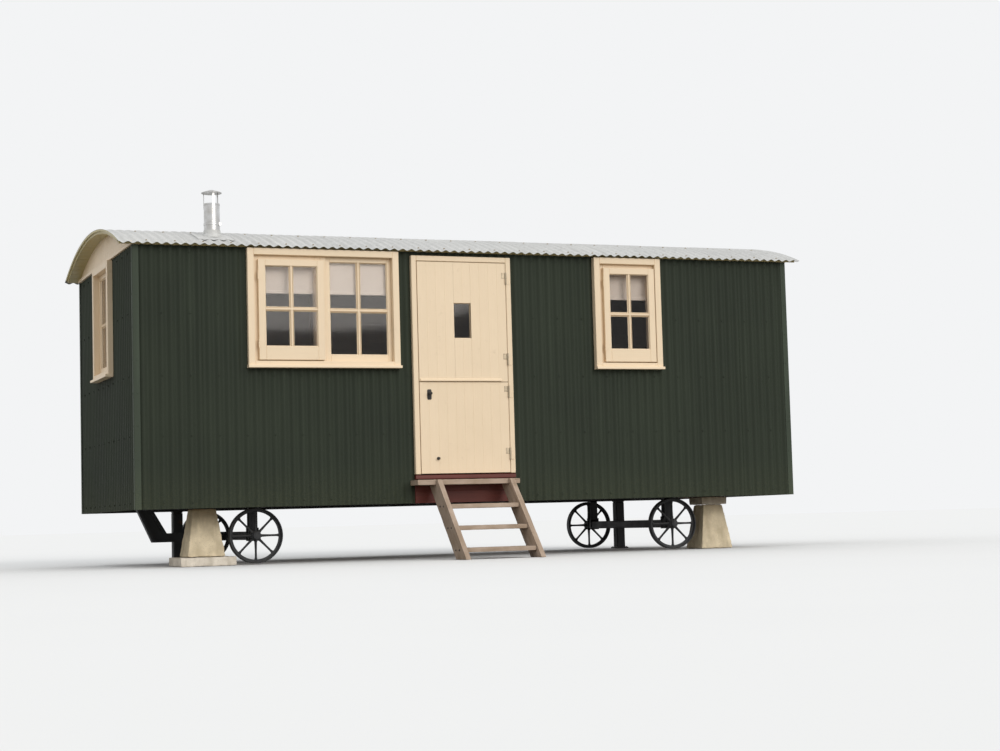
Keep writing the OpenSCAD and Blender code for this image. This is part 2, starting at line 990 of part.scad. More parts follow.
// Flue
module flue_pipe() {
    low = arc_z(under_r, flue_y) - flue_in;
    color("#d9dadb")
        translate([flue_x, flue_y, low])
            difference() {
                cylinder(r = flue_r, h = flue_top - low);
                translate([0, 0, -eps])
                    cylinder(r = flue_r - flue_t, h = flue_top - low + 2 * eps);
            }
}

// A cone cap on three legs that stand on the pipe's rim
module flue_cowl() {
    color("#e2e3e4")
        translate([flue_x, flue_y, flue_top]) {
            for (a = [30 : 120 : 270])
                rotate([0, 0, a])
                    translate([flue_r + leg_r + seat, 0, -cowl_gap / 2])
                        cylinder(r = leg_r, h = 1.5 * cowl_gap + eps);
            translate([0, 0, cowl_gap])
                cylinder(r1 = cap_r, r2 = cap_top_r, h = cowl_h);
        }
}

in_place() bearers();
in_place() cross_members();
in_place() axles();
in_place() front_brace();
in_place() wheel_at(axle_in, wheel_in);  // front_left_wheel
in_place() wheel_at(body_l - axle_in, wheel_in);  // front_right_wheel
in_place() wheel_at(axle_in, body_w - wheel_in);  // back_left_wheel
in_place() wheel_at(body_l - axle_in, body_w - wheel_in);  // back_right_wheel
in_place() piers();
in_place() pier_slabs();
in_place() back_posts();
in_place() floor_deck();  // floor
in_place() front_wall_left();
in_place() front_wall_right();
in_place() front_wall_over_door();
in_place() front_wall_under_door();
in_place() back_wall();
in_place() left_end_wall();
in_place() right_end_wall();
in_place() corner_trims();
in_place() gable_panels();
in_place() roof_boards();
in_place() roof_sheet();
in_place() double_window_frame();
in_place() casement();
in_place() fixed_sash();
in_place() small_window_frame();
in_place() small_window_sash();
in_place() end_window_frames();
in_place() end_window_sashes();
in_place() back_window_frame();
in_place() back_window_sashes();
in_place() window_glass();
in_place() window_blinds();
in_place() door_frame();
in_place() threshold();
in_place() upper_door();
in_place() lower_door();
in_place() door_glass();
in_place() door_handle();
in_place() frame_hinges();
in_place() upper_door_hinges();
in_place() lower_door_hinges();
in_place() step_stringers();
in_place() step_treads();
in_place() flue_pipe();
in_place() flue_cowl();
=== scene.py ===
# Shepherds hut: the finish of every piece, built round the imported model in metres, Z up
import math
import random
from functools import cache

import bmesh
import bpy
from bpy.props import FloatProperty, FloatVectorProperty, IntProperty, PointerProperty
from bpy.types import Operator, Panel, PropertyGroup
from mathutils import Matrix, Vector, noise


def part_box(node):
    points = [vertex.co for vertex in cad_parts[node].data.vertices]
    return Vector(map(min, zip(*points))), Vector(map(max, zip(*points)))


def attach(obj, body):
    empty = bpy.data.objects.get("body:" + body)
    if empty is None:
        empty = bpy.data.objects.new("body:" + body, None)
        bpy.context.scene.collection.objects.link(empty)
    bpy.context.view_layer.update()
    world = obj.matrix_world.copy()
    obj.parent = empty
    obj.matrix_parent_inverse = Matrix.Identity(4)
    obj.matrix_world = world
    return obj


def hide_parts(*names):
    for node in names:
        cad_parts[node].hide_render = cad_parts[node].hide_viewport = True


bl_info = {
    "name": "Shepherds hut",
    "version": (1, 0, 0),
    "blender": (4, 5, 0),
    "location": "3D View > Sidebar > Hut",
    "description": "Dresses the shepherds hut's frame with corrugated iron, joinery and ironwork",
    "category": "Object",
}

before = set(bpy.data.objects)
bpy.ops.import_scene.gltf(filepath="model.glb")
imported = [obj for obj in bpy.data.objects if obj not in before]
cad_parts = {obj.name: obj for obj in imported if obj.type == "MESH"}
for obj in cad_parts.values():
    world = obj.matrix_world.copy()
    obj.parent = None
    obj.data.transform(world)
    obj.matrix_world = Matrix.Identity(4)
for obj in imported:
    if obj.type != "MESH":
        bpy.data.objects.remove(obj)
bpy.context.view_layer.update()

# The walls' outer faces and levels, from the frame
LEFT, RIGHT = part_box("gable_panels")[0].x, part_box("gable_panels")[1].x
FRONT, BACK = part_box("front_wall_left")[0].y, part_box("back_wall")[1].y
WALL_LOW, GABLE_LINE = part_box("left_end_wall")[0].z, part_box("left_end_wall")[1].z
WALL_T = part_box("front_wall_left")[1].y - FRONT
MIDDLE_Y = (FRONT + BACK) / 2

# Each face of the walls: X along it, Y inwards, Z up from the ground
FACES = {
    "front": Matrix.Translation((LEFT, FRONT, 0)),
    "back": Matrix.Translation((RIGHT, BACK, 0)) @ Matrix.Rotation(math.pi, 4, "Z"),
    "left": Matrix.Translation((LEFT, BACK, 0)) @ Matrix.Rotation(-math.pi / 2, 4, "Z"),
    "right": Matrix.Translation((RIGHT, FRONT, 0)) @ Matrix.Rotation(math.pi / 2, 4, "Z"),
}

# Edges sharper than this stay sharp in the shading
SHARP_ANGLE = math.radians(33)
# How far the grain of one solid may be shifted from that of another
GRAIN_SPREAD = 9.0
# Points and levels nearer than these are one
SAME_POINT = 1e-5
SAME_LEVEL = SAME_POINT * 20


# Sizes and colours


def metres(name, value, text):
    """A length property."""
    return FloatProperty(
        name=name, description=text, default=value, min=0.0, unit="LENGTH", precision=4
    )


def colour(name, shade, text):
    """A colour property whose default is a display colour from 0 to 255."""
    linear = [((c / 255 + 0.055) / 1.055) ** 2.4 for c in shade]
    return FloatVectorProperty(
        name=name, description=text, default=linear, size=3, min=0.0, max=1.0, subtype="COLOR"
    )


def angle(name, degrees, text):
    """An angle property whose default is given in degrees."""
    return FloatProperty(
        name=name, description=text, default=math.radians(degrees), subtype="ANGLE"
    )


class HutIron(PropertyGroup):
    pitch: metres("Pitch", 0.0762, "Distance from crest to crest of the corrugation")
    wall_depth: metres("Wall depth", 0.016, "Depth of the corrugation on the walls")
    roof_depth: metres("Roof depth", 0.018, "Depth of the corrugation on the roof")
    gauge: metres("Gauge", 0.0009, "Thickness of the iron")
    lap_step: metres("Lap step", 0.0016, "How far a lapping sheet stands off the one under it")
    drip: metres("Drip", 0.008, "How far the wall sheets hang below the timber")
    sheet_waves: IntProperty(
        name="Waves", description="Corrugations that one sheet covers", default=8, min=3
    )
    facets: IntProperty(
        name="Facets", description="Facets of one corrugation", default=12, min=6
    )
    screw_r: metres("Screw washer", 0.009, "Radius of a roofing screw's washer")
    screw_h: metres("Screw height", 0.006, "Height of a roofing screw's head")
    screw_every: IntProperty(
        name="Screw spacing", description="Corrugations from screw to screw", default=3, min=1
    )


class HutWood(PropertyGroup):
    edge: metres("Edge", 0.002, "Width of the worn edge on planed timber")
    board_w: metres("Board", 0.088, "Width of a boarding board")
    lining_t: metres("Lining", 0.012, "Thickness of the inside lining")
    groove: metres("Groove", 0.003, "Depth of the groove between two boards")
    leaf_board_t: metres("Leaf board", 0.02, "Thickness of a door leaf's outer boards")
    ledge_h: metres("Ledge", 0.11, "Height of a ledge on the inside of a leaf")
    roof_board_t: metres("Roof board", 0.02, "Thickness of the boards under the roof iron")
    seam: metres("Seam", 0.0008, "Width of the worn edge on the boards of the door")


class HutWindows(PropertyGroup):
    face: metres("Frame face", 0.055, "Width of a frame's face")
    mullion: metres("Mullion", 0.05, "Width of the post between two lights")
    rebate: metres("Rebate", 0.045, "Width of the rebate behind an opening light")
    bar_w: metres("Glazing bar", 0.027, "Width of a glazing bar")
    bar_nose: metres("Bar nose", 0.012, "Width of a glazing bar's narrow front")
    level_bar: metres("Level bar", 2.065, "Height of the level glazing bars above the ground")
    putty: metres("Putty", 0.006, "Size of the putty fillet round a pane")
    jamb: metres("Jamb", 0.045, "Width of a door jamb's face")
    stop: metres("Stop", 0.014, "Width of the door stop")
    roller_r: metres("Roller", 0.013, "Radius of a blind's roller")


class HutColours(PropertyGroup):
    green: colour("Wall green", (46, 52, 43), "Paint on the corrugated walls")
    trim: colour("Corner trim", (62, 70, 60), "Paint on the corner angles")
    cream: colour("Cream", (232, 211, 181), "Paint on windows, door and gables")
    # Painted shade: the soffit colour is the cream paint made darker and olive, for the shade and
    # the green bounce light under the roof
    soffit: colour("Soffit", (184, 172, 122), "Cream boards under the roof iron, darkened olive as painted shade")
    lining: colour("Lining", (214, 204, 184), "Paint on the inside boards")
    iron: colour("Galvanised", (202, 202, 200), "Weathered galvanised roof sheet")
    steel: colour("Stainless", (208, 208, 208), "Bright flue steel")
    timber: colour("Structural timber", (150, 122, 88), "Sawn timber of the floor and the walls")
    weathered: colour("Weathered wood", (174, 155, 137), "Bare wood of the steps")
    hardwood: colour("Threshold", (98, 40, 29), "Red-brown wood of the threshold")
    black: colour("Chassis", (42, 43, 45), "Paint on the chassis and wheels")
    handle: colour("Handle", (38, 35, 33), "Japanned iron of the handle")
    hinge: colour("Hinge", (176, 162, 140), "Dulled plating on the hinges")
    pier: colour("Pier", (222, 207, 178), "Cast concrete of the piers")
    slab: colour("Slab", (226, 217, 203), "Paving slabs")
    cloth: colour("Blind", (228, 221, 212), "Blind cloth")
    glass: colour("Glass", (250, 248, 247), "Tint of the panes")
    floor: colour("Studio floor", (232, 232, 231), "Studio floor as the camera sees it")
    floor_bounce: colour("Floor bounce", (132, 126, 114), "Studio floor as it lights the hut")
    backdrop: colour("Backdrop", (243, 244, 245), "Background behind the hut")


class HutStudio(PropertyGroup):
    place: FloatVectorProperty(
        name="Camera", description="Where the camera stands", default=(-5.857, -15.774, 0.306),
        size=3, subtype="TRANSLATION",
    )
    yaw: angle("Yaw", 21.936, "Turn of the camera from the Y axis towards X")
    pitch: angle("Pitch", 4.353, "How far the camera looks up")
    roll: angle("Roll", 1.587, "Tilt of the camera")
    lens: FloatProperty(
        name="Lens", description="Focal length on a 36 mm sensor", default=68.4, unit="CAMERA"
    )
    reach: metres("Reach", 400.0, "Half the side of the studio floor")
    sky: FloatProperty(name="Sky", description="Strength of the even light", default=0.95, min=0.0)
    sun: FloatProperty(name="Sun", description="Strength of the soft sun", default=1.4, min=0.0)
    sun_spread: angle("Sun spread", 35, "Angle that the soft sun fills")
    sun_from: FloatVectorProperty(
        name="Sun from", description="Direction that the sun shines from",
        default=(0.3, -1.0, 0.45), size=3, subtype="DIRECTION",
    )


GROUPS = {
    "hut_iron": HutIron, "hut_wood": HutWood, "hut_windows": HutWindows,
    "hut_colours": HutColours, "hut_studio": HutStudio,
}


def sizes(name):
    """One of the property groups of the scene, by its short name."""
    return getattr(bpy.context.scene, "hut_" + name)


# Reading the frame


def solids(node, place=None):
    """The solids of a CAD node, each as the list of its points in the frame of place."""
    back = (place or Matrix()).inverted()
    mesh = bmesh.new()
    mesh.from_mesh(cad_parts[node].data)
    bmesh.ops.remove_doubles(mesh, verts=mesh.verts, dist=SAME_POINT)
    found = []
    for vert in mesh.verts:
        if vert.tag:
            continue
        group, vert.tag = [vert], True
        for one in group:
            for edge in one.link_edges:
                other = edge.other_vert(one)
                if not other.tag:
                    other.tag = True
                    group.append(other)
        found.append([back @ one.co for one in group])
    mesh.free()
    return sorted(found, key=lambda group: [round(c, 3) for c in lowest(group)])


def lowest(points):
    """The corner of the least X, Y and Z of some points."""
    return Vector([min(p[k] for p in points) for k in range(3)])


def highest(points):
    """The corner of the greatest X, Y and Z of some points."""
    return Vector([max(p[k] for p in points) for k in range(3)])


def extent(points):
    return lowest(points), highest(points)


def boxes(node):
    """(lowest, highest) corner of each solid of a CAD node."""
    return [extent(group) for group in solids(node)]


def on_face(node, face):
    """The solids of a node that lie on one face of the walls, in that face's frame."""
    reach = 2 * (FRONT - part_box("roof_sheet")[0].y)
    return [group for group in solids(node, FACES[face]) if abs(lowest(group).y) < reach]


def levels(points, axis):
    """The different values of one coordinate, lowest first."""
    found = []
    for value in sorted(p[axis] for p in points):
        if not found or value - found[-1] > SAME_LEVEL:
            found.append(value)
    return found


def roof_arc():
    """Radius and axis height of the roof's outer face, through its crown and eaves."""
    low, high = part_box("roof_sheet")
    depth = sizes("iron").roof_depth
    half, rise = (high.y - low.y) / 2, high.z - low.z
    radius = (rise**2 - depth**2 + half**2) / (2 * (rise - depth))
    return radius, high.z - radius


def arc_height(radius, y):
    """Height of an arc of that radius about the roof's axis."""
    return roof_arc()[1] + math.sqrt(radius**2 - (y - MIDDLE_Y) ** 2)


def under_roof(y):
    """Height of the roof boards' underside at depth y."""
    return arc_height(roof_arc()[0] - sizes("iron").roof_depth - sizes("wood").roof_board_t, y)


# Mesh making


# Each neighbour of a grid's cell, and the two corners of the side they share
CELL_SIDES = (((-1, 0), (0, 0), (0, 1)), ((1, 0), (1, 0), (1, 1)),
              ((0, -1), (0, 0), (1, 0)), ((0, 1), (0, 1), (1, 1)))


class Maker:
    """Gathers the solids of one piece. Each solid has a tone and a grain that materials read."""

    def __init__(self, name, place=None):
        self.name, self.place = name, place or Matrix()
        self.random = random.Random(name)
        self.points, self.faces, self.tones, self.grain, self.paints = [], [], [], [], []
        self.paint = 0

    def add(self, points, faces, plain=None):
        """One solid. Its grain runs along the longest side of plain, or of the points."""
        points = [Vector(p) for p in points]
        plain = [Vector(p) for p in plain] if plain else points
        span = highest(plain) - lowest(plain)
        a, b, c = sorted(range(3), key=lambda k: -span[k])
        shift = Vector([self.random.uniform(0, GRAIN_SPREAD) for _ in range(3)])
        start = len(self.points)
        self.grain += [Vector((p[a], p[b], p[c])) + shift for p in plain]
        self.points += [self.place @ p for p in points]
        self.faces += [[start + i for i in face] for face in faces]
        self.tones += [self.random.random()] * len(faces)
        self.paints += [self.paint] * len(faces)

    def bar(self, low, high, edge=None):
        """A block with chamfered edges."""
        edge = sizes("wood").edge if edge is None else edge
        low, high = Vector(low), Vector(high)
        edge = min(edge, *((high - low) / 3))
        signs = [(i, j, k) for i in (0, 1) for j in (0, 1) for k in (0, 1)]
        points, index = [], {}
        for corner in signs:
            for face in range(3):
                point = [high[k] if corner[k] else low[k] for k in range(3)]
                for k in range(3):
                    if k != face:
                        point[k] += -edge if corner[k] else edge
                index[corner, face] = len(points)
                points.append(point)
        faces = [[index[c, 0], index[c, 1], index[c, 2]] for c in signs]
        for face in range(3):
            p, q = [k for k in range(3) if k != face]
            for side in (0, 1):
                ring = []
                for u, v in ((0, 0), (1, 0), (1, 1), (0, 1)):
                    corner = [0, 0, 0]
                    corner[face], corner[p], corner[q] = side, u, v
                    ring.append(index[tuple(corner), face])
                faces.append(ring)
            for u in (0, 1):
                for v in (0, 1):
                    ends = []
                    for side in (0, 1):
                        corner = [0, 0, 0]
                        corner[face], corner[p], corner[q] = side, u, v
                        ends.append(tuple(corner))
                    faces.append([index[ends[0], p], index[ends[1], p],
                                  index[ends[1], q], index[ends[0], q]])
        self.add(points, faces)

    def loft(self, rings):
        """A solid through like rings of points, closed at both ends."""
        n = len(rings[0])
        points = [p for ring in rings for p in ring]
        faces = []
        for r in range(len(rings) - 1):
            for i in range(n):
                j = (i + 1) % n
                faces.append([r * n + i, r * n + j, (r + 1) * n + j, (r + 1) * n + i])
        faces += [list(range(n)), [(len(rings) - 1) * n + i for i in range(n)]]
        self.add(points, faces)

    def prism(self, outline, axis, start, end):
        """An outline of two coordinates drawn along the third axis."""

        def at(along):
            return [(*p[:axis], along, *p[axis:]) for p in outline]

        self.loft([at(start), at(end)])

    def turn(self, outline, place=None, steps=24, ring=False):
        """A round solid about place's Z axis from (radius, height) points; a ring is closed."""
        place = place or Matrix()
        points, rows, faces = [], [], []
        for radius, height in outline:
            count = 1 if radius < SAME_POINT else steps
            rows.append([len(points) + i for i in range(count)])
            for i in range(count):
                angle = 2 * math.pi * i / steps
                points.append(place @ Vector(
                    (radius * math.cos(angle), radius * math.sin(angle), height)))
        pairs = list(zip(rows, rows[1:] + rows[:1] if ring else rows[1:]))
        for low, high in pairs:
            for i in range(steps):
                j = (i + 1) % steps
                quad = [low[i % len(low)], low[j % len(low)],
                        high[j % len(high)], high[i % len(high)]]
                faces.append(list(dict.fromkeys(quad)))
        if not ring:
            faces += [row for row in (rows[0], rows[-1]) if len(row) > 1]
        self.add(points, faces)

    def slab(self, front, back, keep=lambda i, j: True):
        """A closed sheet between two like grids of points; keep says which cells it has."""
        cells = [(i, j) for i in range(len(front) - 1) for j in range(len(front[0]) - 1)
                 if keep(i, j)]
        kept, index, points, faces = set(cells), {}, [], []

        def at(side, i, j):
            if (side, i, j) not in index:
                index[side, i, j] = len(points)
                points.append((front, back)[side][i][j])
            return index[side, i, j]

        for i, j in cells:
            square = [(i, j), (i + 1, j), (i + 1, j + 1), (i, j + 1)]
            faces.append([at(0, *p) for p in square])
            faces.append([at(1, *p) for p in reversed(square)])
            for (di, dj), p, q in CELL_SIDES:
                if (i + di, j + dj) not in kept:
                    p, q = (i + p[0], j + p[1]), (i + q[0], j + q[1])
                    faces.append([at(0, *p), at(0, *q), at(1, *q), at(1, *p)])
        if faces:
            self.add(points, faces)

    def rough(self, low, high, step, radius, bump, warp=lambda p: p):
        """A block with worn round edges and an uneven surface, bent by warp at the end."""
        low, high = Vector(low), Vector(high)
        counts = [max(2, round((high[k] - low[k]) / step)) for k in range(3)]
        shift = Vector([self.random.uniform(0, GRAIN_SPREAD) for _ in range(3)])
        index, points, plain, faces = {}, [], [], []

        def at(cell):
            if cell not in index:
                p = Vector([low[k] + (high[k] - low[k]) * cell[k] / counts[k] for k in range(3)])
                core = Vector([min(max(p[k], low[k] + radius), high[k] - radius) for k in range(3)])
                out = (p - core).normalized()
                swell = noise.fractal(p * (0.35 / step) + shift, 0.6, 2.2, 4)
                index[cell] = len(points)
                plain.append(p)
                points.append(warp(core + out * (radius + bump * (min(swell, 0.6) - 0.6))))
            return index[cell]

        for k in range(3):
            a, b = [m for m in range(3) if m != k]
            for side in (0, counts[k]):
                for i in range(counts[a]):
                    for j in range(counts[b]):
                        ring = []
                        for u, v in ((i, j), (i + 1, j), (i + 1, j + 1), (i, j + 1)):
                            cell = [0, 0, 0]
                            cell[k], cell[a], cell[b] = side, u, v
                            ring.append(at(tuple(cell)))
                        faces.append(ring)
        self.add(points, faces, plain)

    def stud(self, at, out, radius, height):
        """A low round head with its washer, standing out from at."""
        place = Matrix.Translation(at) @ Vector(out).to_track_quat("Z", "Y").to_matrix().to_4x4()
        self.turn([(radius, -height * 0.4), (radius, height * 0.25), (radius * 0.55, height * 0.3),
                   (radius * 0.5, height * 0.85), (radius * 0.3, height), (0, height)],
                  place, steps=8)

    def make(self, materials, nodes=(), body="hut", slot=None):
        """Turns what was gathered into one object that rides on its body."""
        mesh = bpy.data.meshes.new(self.name)
        mesh.from_pydata(self.points, [], self.faces)
        shape = bmesh.new()
        shape.from_mesh(mesh)
        bmesh.ops.recalc_face_normals(shape, faces=shape.faces)
        shape.to_mesh(mesh)
        shape.free()
        mesh.attributes.new("tone", "FLOAT", "FACE").data.foreach_set("value", self.tones)
        flat = [c for p in self.grain for c in p]
        mesh.attributes.new("grain", "FLOAT_VECTOR", "POINT").data.foreach_set("vector", flat)
        mesh.polygons.foreach_set("use_smooth", [True] * len(self.faces))
        mesh.polygons.foreach_set("material_index", self.paints)
        mesh.set_sharp_from_angle(angle=SHARP_ANGLE)
        for material in materials:
            mesh.materials.append(material)
        piece = bpy.data.objects.new(self.name, mesh)
        bpy.context.scene.collection.objects.link(piece)
        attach(piece, body)
        if nodes:
            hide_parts(*nodes)
        return piece


def spans(start, end, gaps):
    """What is left of a stretch after some gaps are taken out of it."""
    left = [(start, end)]
    for low, high in gaps:
        left = [part for a, b in left
                for part in ((a, min(b, low)), (max(a, high), b)) if part[1] - part[0] > SAME_POINT]
    return left


def boarding(maker, x0, x1, z0, z1, y0, y1, width, holes=(), upright=False, edge=None):
    """Boards side by side over a face, cut round its holes (x0, x1, z0, z1)."""
    if upright:
        a0, a1, b0, b1, cuts = x0, x1, z0, z1, holes
    else:
        a0, a1, b0, b1 = z0, z1, x0, x1
        cuts = [(h[2], h[3], h[0], h[1]) for h in holes]
    count = max(1, round((a1 - a0) / width))
    lines = {a0 + (a1 - a0) * i / count for i in range(count + 1)}
    for side in [e for cut in cuts for e in cut[:2] if a0 < e < a1]:
        near = min(lines, key=lambda line: abs(line - side))
        if a0 < near < a1 and abs(near - side) < width / 2:
            lines.discard(near)
        lines.add(side)
    lines = sorted(lines)
    for low, high in zip(lines, lines[1:]):
        middle = (low + high) / 2
        gaps = [cut[2:] for cut in cuts if cut[0] < middle < cut[1]]
        for start, end in spans(b0, b1, gaps):
            if upright:
                maker.bar((low, y0, start), (high, y1, end), edge)
            else:
                maker.bar((start, y0, low), (end, y1, high), edge)


# Materials


class Nodes:
    """The nodes of a material or of the world, linked as they are made."""

    def __init__(self, name, world=None):
        self.material = world or bpy.data.materials.new(name)
        self.material.use_nodes = True
        self.tree = self.material.node_tree
        self.tree.nodes.clear()

    def put(self, kind, inputs=(), **settings):
        made = self.tree.nodes.new("ShaderNode" + kind)
        for key, value in settings.items():
            setattr(made, key, value)
        for key, value in dict(inputs).items():
            if isinstance(value, bpy.types.NodeSocket):
                self.tree.links.new(value, made.inputs[key])
            else:
                made.inputs[key].default_value = value
        return made

    def place(self, source="object", stretch=(1, 1, 1), turn=(0, 0, 0)):
        """Coordinates in metres, in the part's frame or along each solid's grain."""
        if source == "grain":
            start = self.put("Attribute", attribute_name="grain").outputs["Vector"]
        else:
            start = self.put("TexCoord").outputs["Object"]
        return self.put("Mapping", {"Vector": start, "Scale": stretch, "Rotation": turn}).outputs[0]

    def noise(self, vector, scale, detail=4.0, rough=0.55, distortion=0.0):
        return self.put("TexNoise", {"Vector": vector, "Scale": scale, "Detail": detail,
                                     "Roughness": rough, "Distortion": distortion}).outputs[0]

    def spread(self, value, low, high, to_low=0.0, to_high=1.0):
        return self.put("MapRange", {0: value, 1: low, 2: high, 3: to_low, 4: to_high}).outputs[0]

    def maths(self, operation, a, b=0.5):
        return self.put("Math", {0: a, 1: b}, operation=operation).outputs[0]

    def mix(self, share, a, b):
        return self.put("Mix", {0: share, 6: a, 7: b}, data_type="RGBA").outputs[2]

    def wash(self, body, mask, low, high, most, tone):
        """The body with one more tone laid over it where the mask lies between low and high."""
        return self.mix(self.spread(mask, low, high, 0, most), body, tone)

    def tone(self):
        return self.put("Attribute", attribute_name="tone").outputs["Fac"]

    def upward(self, node, output):
        """The Z part of one of a node's outputs."""
        return self.put("SeparateXYZ", {0: self.put(node).outputs[output]}).outputs["Z"]

    def bump(self, height, strength, distance, under=None):
        inputs = {"Height": height, "Strength": strength, "Distance": distance}
        if under:
            inputs["Normal"] = under
        return self.put("Bump", inputs).outputs[0]

    def surface(self, colour, roughness, normal=None, **constants):
        inputs = {"Base Color": colour, "Roughness": roughness}
        inputs |= {key.replace("_", " "): value for key, value in constants.items()}
        if normal:
            inputs["Normal"] = normal
        shader = self.put("BsdfPrincipled", inputs)
        self.put("OutputMaterial", {"Surface": shader.outputs[0]})
        return self.material


def shade(colour, factor, tint=(1, 1, 1)):
    """A colour made lighter or darker, as four numbers."""
    return (*[min(1.0, c * factor * t) for c, t in zip(colour, tint)], 1.0)


# How high above the walls' lower edge the dust reaches
SPLASH_H = 0.34


def started(name, key):
    """The nodes of a new material, and its colour from the settings."""
    return Nodes(name), getattr(sizes("colours"), key)


@cache
def wall_paint(name="wall_green", key="green"):
    """Satin paint on iron: faded in patches, streaked by rain, with dust low down."""
    n, base = started(name, key)
    fade = n.noise(n.place(), 1.1, 3)
    streak = n.noise(n.place(stretch=(1, 1, 0.045)), 26, 3)
    fine = n.noise(n.place(), 90, 3)
    body = n.mix(n.spread(fade, 0.3, 0.7), shade(base, 0.88), shade(base, 1.16, (1, 0.99, 0.97)))
    body = n.wash(body, streak, 0.52, 0.78, 0.5, shade(base, 1.5, (1, 1.0, 0.98)))
    body = n.wash(body, n.tone(), 0, 1, 0.16, shade(base, 1.55))
    high = n.upward("TexCoord", "Object")
    splash = n.maths("MULTIPLY", n.spread(high, WALL_LOW + SPLASH_H, WALL_LOW, 0, 0.55),
                     n.spread(fine, 0.35, 0.7))
    body = n.mix(splash, body, shade(base, 1.9, (1.15, 1.0, 0.8)))
    normal = n.bump(fine, 0.12, 0.0008)
    return n.surface(body, n.spread(fade, 0.3, 0.7, 0.55, 0.68), normal, Specular_IOR_Level=0.12)


@cache
def cream_paint(name="cream_paint", key="cream"):
    """Brushed satin paint on planed wood: brush marks and grain along each member."""
    n, base = started(name, key)
    brush = n.noise(n.place("grain", (1.4, 60, 60)), 3.2, 4)
    cloud = n.noise(n.place(), 2.3, 3)
    grime = n.noise(n.place(), 13, 5, 0.65)
    body = n.mix(n.spread(cloud, 0.3, 0.7), shade(base, 0.965, (1, 0.99, 0.97)), shade(base, 1.03))
    body = n.wash(body, brush, 0.35, 0.7, 0.28, shade(base, 0.88, (1, 0.97, 0.92)))
    body = n.wash(body, n.tone(), 0, 1, 0.14, shade(base, 0.86, (1, 0.98, 0.93)))
    body = n.wash(body, grime, 0.62, 0.82, 0.35, shade(base, 0.62, (1, 0.93, 0.8)))
    normal = n.bump(brush, 0.22, 0.0006)
    return n.surface(body, n.spread(cloud, 0.3, 0.7, 0.38, 0.5), normal, Specular_IOR_Level=0.45)


@cache
def bare_wood(name, key, contrast=0.5, silver=0.0, roughness=0.72):
    """Unpainted wood with rings, fibres and cracks along the grain."""
    n, base = started(name, key)
    along = n.place("grain", (1, 9, 9))
    rings = n.noise(along, 2.4, 5, 0.6, 0.7)
    fibre = n.noise(n.place("grain", (2.2, 150, 150)), 2.2, 4, 0.6)
    crack = n.noise(n.place("grain", (1.6, 70, 70)), 1.3, 3, 0.5)
    body = n.mix(n.spread(rings, 0.35, 0.65), shade(base, 1 + 0.18 * contrast),
                 shade(base, 1 - 0.5 * contrast, (1.02, 0.95, 0.86)))
    body = n.wash(body, fibre, 0.35, 0.7, 0.55 * contrast + 0.1,
                  shade(base, 0.55, (1.03, 0.95, 0.85)))
    body = n.wash(body, n.tone(), 0, 1, 0.4, shade(base, 0.74, (1, 0.97, 0.93)))
    if silver:
        pale = n.noise(n.place(), 5, 4)
        body = n.wash(body, pale, 0.4, 0.62, silver, shade(base, 1.3, (0.97, 0.99, 1.05)))
    split = n.spread(crack, 0.66, 0.72)
    body = n.mix(split, body, shade(base, 0.3))
    height = n.maths("SUBTRACT", fibre, n.maths("MULTIPLY", split, 0.9))
    return n.surface(body, roughness, n.bump(height, 0.5, 0.0012), Specular_IOR_Level=0.3)


@cache
def black_paint(name="chassis_paint", key="black"):
    """Matt black paint with road dust on top and a little rust in patches."""
    n, base = started(name, key)
    patch = n.noise(n.place(), 9, 6, 0.65)
    fine = n.noise(n.place(), 120, 3)
    facing = n.upward("NewGeometry", "Normal")
    body = n.mix(n.spread(patch, 0.3, 0.7), shade(base, 0.8), shade(base, 1.35))
    dust = n.maths("MULTIPLY", n.spread(facing, 0.3, 1.0, 0, 0.6), n.spread(fine, 0.2, 0.7))
    body = n.mix(dust, body, shade(base, 6, (1.1, 1, 0.8)))
    body = n.wash(body, patch, 0.66, 0.74, 0.7, shade(base, 3.2, (1.5, 0.72, 0.4)))
    normal = n.bump(n.maths("ADD", patch, fine), 0.35, 0.001)
    return n.surface(body, n.spread(patch, 0.3, 0.7, 0.5, 0.75), normal, Specular_IOR_Level=0.4)


@cache
def galvanised():
    """Weathered zinc: spangle, pale oxide bloom, runs of dirt, and shade on the undersides."""
    n, base = started("galvanised", "iron")
    spangle = n.put("TexVoronoi", {"Vector": n.place(), "Scale": 55.0}).outputs["Color"]
    grey = n.put("RGBToBW", {0: spangle}).outputs[0]
    bloom = n.noise(n.place(), 1.7, 5, 0.6)
    run = n.noise(n.place(stretch=(1, 0.09, 0.09)), 20, 4)
    body = n.mix(n.spread(grey, 0.1, 0.9), shade(base, 0.86), shade(base, 1.04))
    body = n.wash(body, bloom, 0.35, 0.7, 0.65, shade(base, 1.12, (1, 1, 0.99)))
    body = n.wash(body, run, 0.55, 0.8, 0.45, shade(base, 0.6, (1, 0.98, 0.93)))
    body = n.wash(body, n.tone(), 0, 1, 0.2, shade(base, 0.78))
    # Painted shade: where the normal faces down, the zinc is darkened to a quarter for the shade
    # under the eaves and the scallops
    facing = n.upward("NewGeometry", "Normal")
    body = n.mix(n.spread(facing, -0.2, -0.6), body, shade(base, 0.25))
    normal = n.bump(grey, 0.08, 0.0006)
    return n.surface(body, n.spread(bloom, 0.3, 0.7, 0.58, 0.74), normal, Metallic=0.2,
                     Specular_IOR_Level=0.25)


@cache
def bright_steel(name="bright_steel", key="steel", metallic=1.0, roughness=0.24):
    """Brushed or plated steel with fine rings and dull patches."""
    n, base = started(name, key)
    rings = n.noise(n.place(stretch=(0.6, 0.6, 160)), 5, 3)
    dull = n.noise(n.place(), 14, 5)
    body = n.mix(n.spread(dull, 0.3, 0.75), shade(base, 1.0), shade(base, 0.72, (1, 0.97, 0.92)))
    rough = n.spread(dull, 0.3, 0.75, roughness, roughness + 0.2)
    return n.surface(body, rough, n.bump(rings, 0.1, 0.0005), Metallic=metallic)


